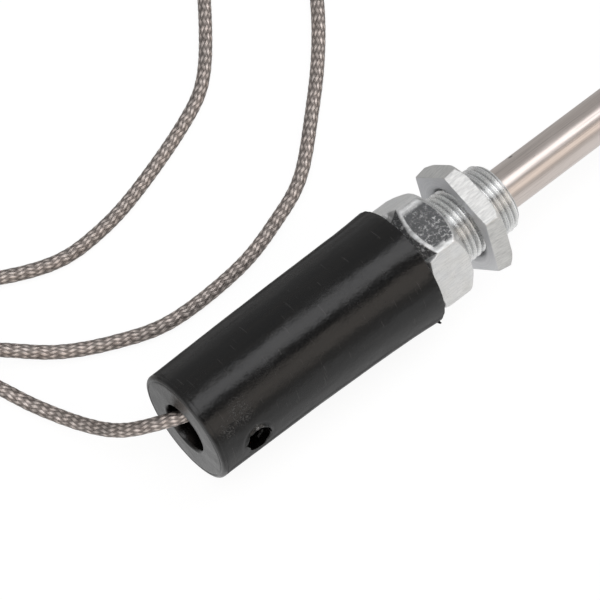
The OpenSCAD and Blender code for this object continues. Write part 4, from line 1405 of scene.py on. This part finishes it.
# ---------------------------------------------------------------- floor, light
def build_stage():
    me = bpy.data.meshes.new("floor")
    me.from_pydata([(-9, -9, -2e-5), (9, -9, -2e-5), (9, 9, -2e-5), (-9, 9, -2e-5)], [], [(0, 1, 2, 3)])
    o = bpy.data.objects.new("floor", me)
    bpy.context.scene.collection.objects.link(o)
    m = bpy.data.materials.new("floor")
    m.use_nodes = True
    t = m.node_tree
    t.nodes.clear()
    out = t.nodes.new("ShaderNodeOutputMaterial")
    d = t.nodes.new("ShaderNodeBsdfDiffuse")
    d.inputs[0].default_value = (0.78, 0.78, 0.78, 1)
    e = t.nodes.new("ShaderNodeEmission")
    e.inputs[0].default_value = (1, 1, 1, 1)
    e.inputs[1].default_value = 1.09
    mix = t.nodes.new("ShaderNodeMixShader")
    lp = t.nodes.new("ShaderNodeLightPath")
    k = t.nodes.new("ShaderNodeMath")
    k.operation = "MULTIPLY"
    k.inputs[1].default_value = 0.84
    t.links.new(lp.outputs["Is Camera Ray"], k.inputs[0])
    t.links.new(k.outputs[0], mix.inputs[0])
    t.links.new(d.outputs[0], mix.inputs[1])
    t.links.new(e.outputs[0], mix.inputs[2])
    # what shiny things see of the floor: pale in front, a dark card behind
    co = t.nodes.new("ShaderNodeTexCoord")
    sy = t.nodes.new("ShaderNodeSeparateXYZ")
    t.links.new(co.outputs["Object"], sy.inputs[0])
    mr = t.nodes.new("ShaderNodeMapRange")
    for k2, v2 in (("From Min", -0.008), ("From Max", 0.03), ("To Min", 0.84), ("To Max", 0.50)):
        mr.inputs[k2].default_value = v2
    t.links.new(sy.outputs[1], mr.inputs["Value"])
    card = t.nodes.new("ShaderNodeEmission")
    t.links.new(mr.outputs[0], card.inputs[1])
    mix2 = t.nodes.new("ShaderNodeMixShader")
    t.links.new(lp.outputs["Is Glossy Ray"], mix2.inputs[0])
    t.links.new(mix.outputs[0], mix2.inputs[1])
    t.links.new(card.outputs[0], mix2.inputs[2])
    t.links.new(mix2.outputs[0], out.inputs[0])
    me.materials.append(m)

    w = bpy.data.worlds.new("studio")
    bpy.context.scene.world = w
    w.use_nodes = True
    t = w.node_tree
    t.nodes.clear()
    out = t.nodes.new("ShaderNodeOutputWorld")
    bg = t.nodes.new("ShaderNodeBackground")
    tc = t.nodes.new("ShaderNodeTexCoord")
    sep = t.nodes.new("ShaderNodeSeparateXYZ")
    t.links.new(tc.outputs["Generated"], sep.inputs[0])
    neg = t.nodes.new("ShaderNodeMath")
    neg.operation = "MULTIPLY"
    neg.inputs[1].default_value = -1.0
    t.links.new(sep.outputs[1], neg.inputs[0])
    at = t.nodes.new("ShaderNodeMath")
    at.operation = "ARCTAN2"
    t.links.new(neg.outputs[0], at.inputs[0])
    t.links.new(sep.outputs[2], at.inputs[1])
    mr = t.nodes.new("ShaderNodeMapRange")
    mr.inputs["From Min"].default_value = -math.pi
    mr.inputs["From Max"].default_value = math.pi
    t.links.new(at.outputs[0], mr.inputs["Value"])
    ramp = t.nodes.new("ShaderNodeValToRGB")
    stops = [
        (-180, (0.35, 0.35, 0.35)),
        (-100, (0.40, 0.40, 0.40)),
        (-78, (0.42, 0.42, 0.42)),
        (-50, (0.42, 0.42, 0.42)),
        (-17, (0.36, 0.36, 0.36)),
        (-9, (1.95, 1.95, 1.98)),
        (13, (1.95, 1.95, 1.98)),
        (20, (0.12, 0.12, 0.12)),
        (33, (0.12, 0.12, 0.12)),
        (40, (1.15, 1.06, 0.98)),
        (62, (1.15, 1.06, 0.98)),
        (72, (0.42, 0.41, 0.40)),
        (100, (0.62, 0.62, 0.62)),
        (180, (0.35, 0.35, 0.35)),
    ]
    e = ramp.color_ramp.elements
    while len(e) > 1:
        e.remove(e[-1])
    for i, (a, c) in enumerate(stops):
        p = (a + 180) / 360
        el = e[0] if i == 0 else e.new(p)
        el.position = p
        el.color = (*c, 1)
    t.links.new(mr.outputs[0], ramp.inputs[0])
    lp = t.nodes.new("ShaderNodeLightPath")
    mix = t.nodes.new("ShaderNodeMix")
    mix.data_type = "RGBA"
    t.links.new(lp.outputs["Is Camera Ray"], mix.inputs["Factor"])
    t.links.new(ramp.outputs[0], mix.inputs[6])
    mix.inputs[7].default_value = (0.93, 0.93, 0.93, 1)
    t.links.new(mix.outputs[2], bg.inputs[0])
    t.links.new(bg.outputs[0], out.inputs[0])
    bpy.context.scene.view_settings.view_transform = "Standard"


build_stage()
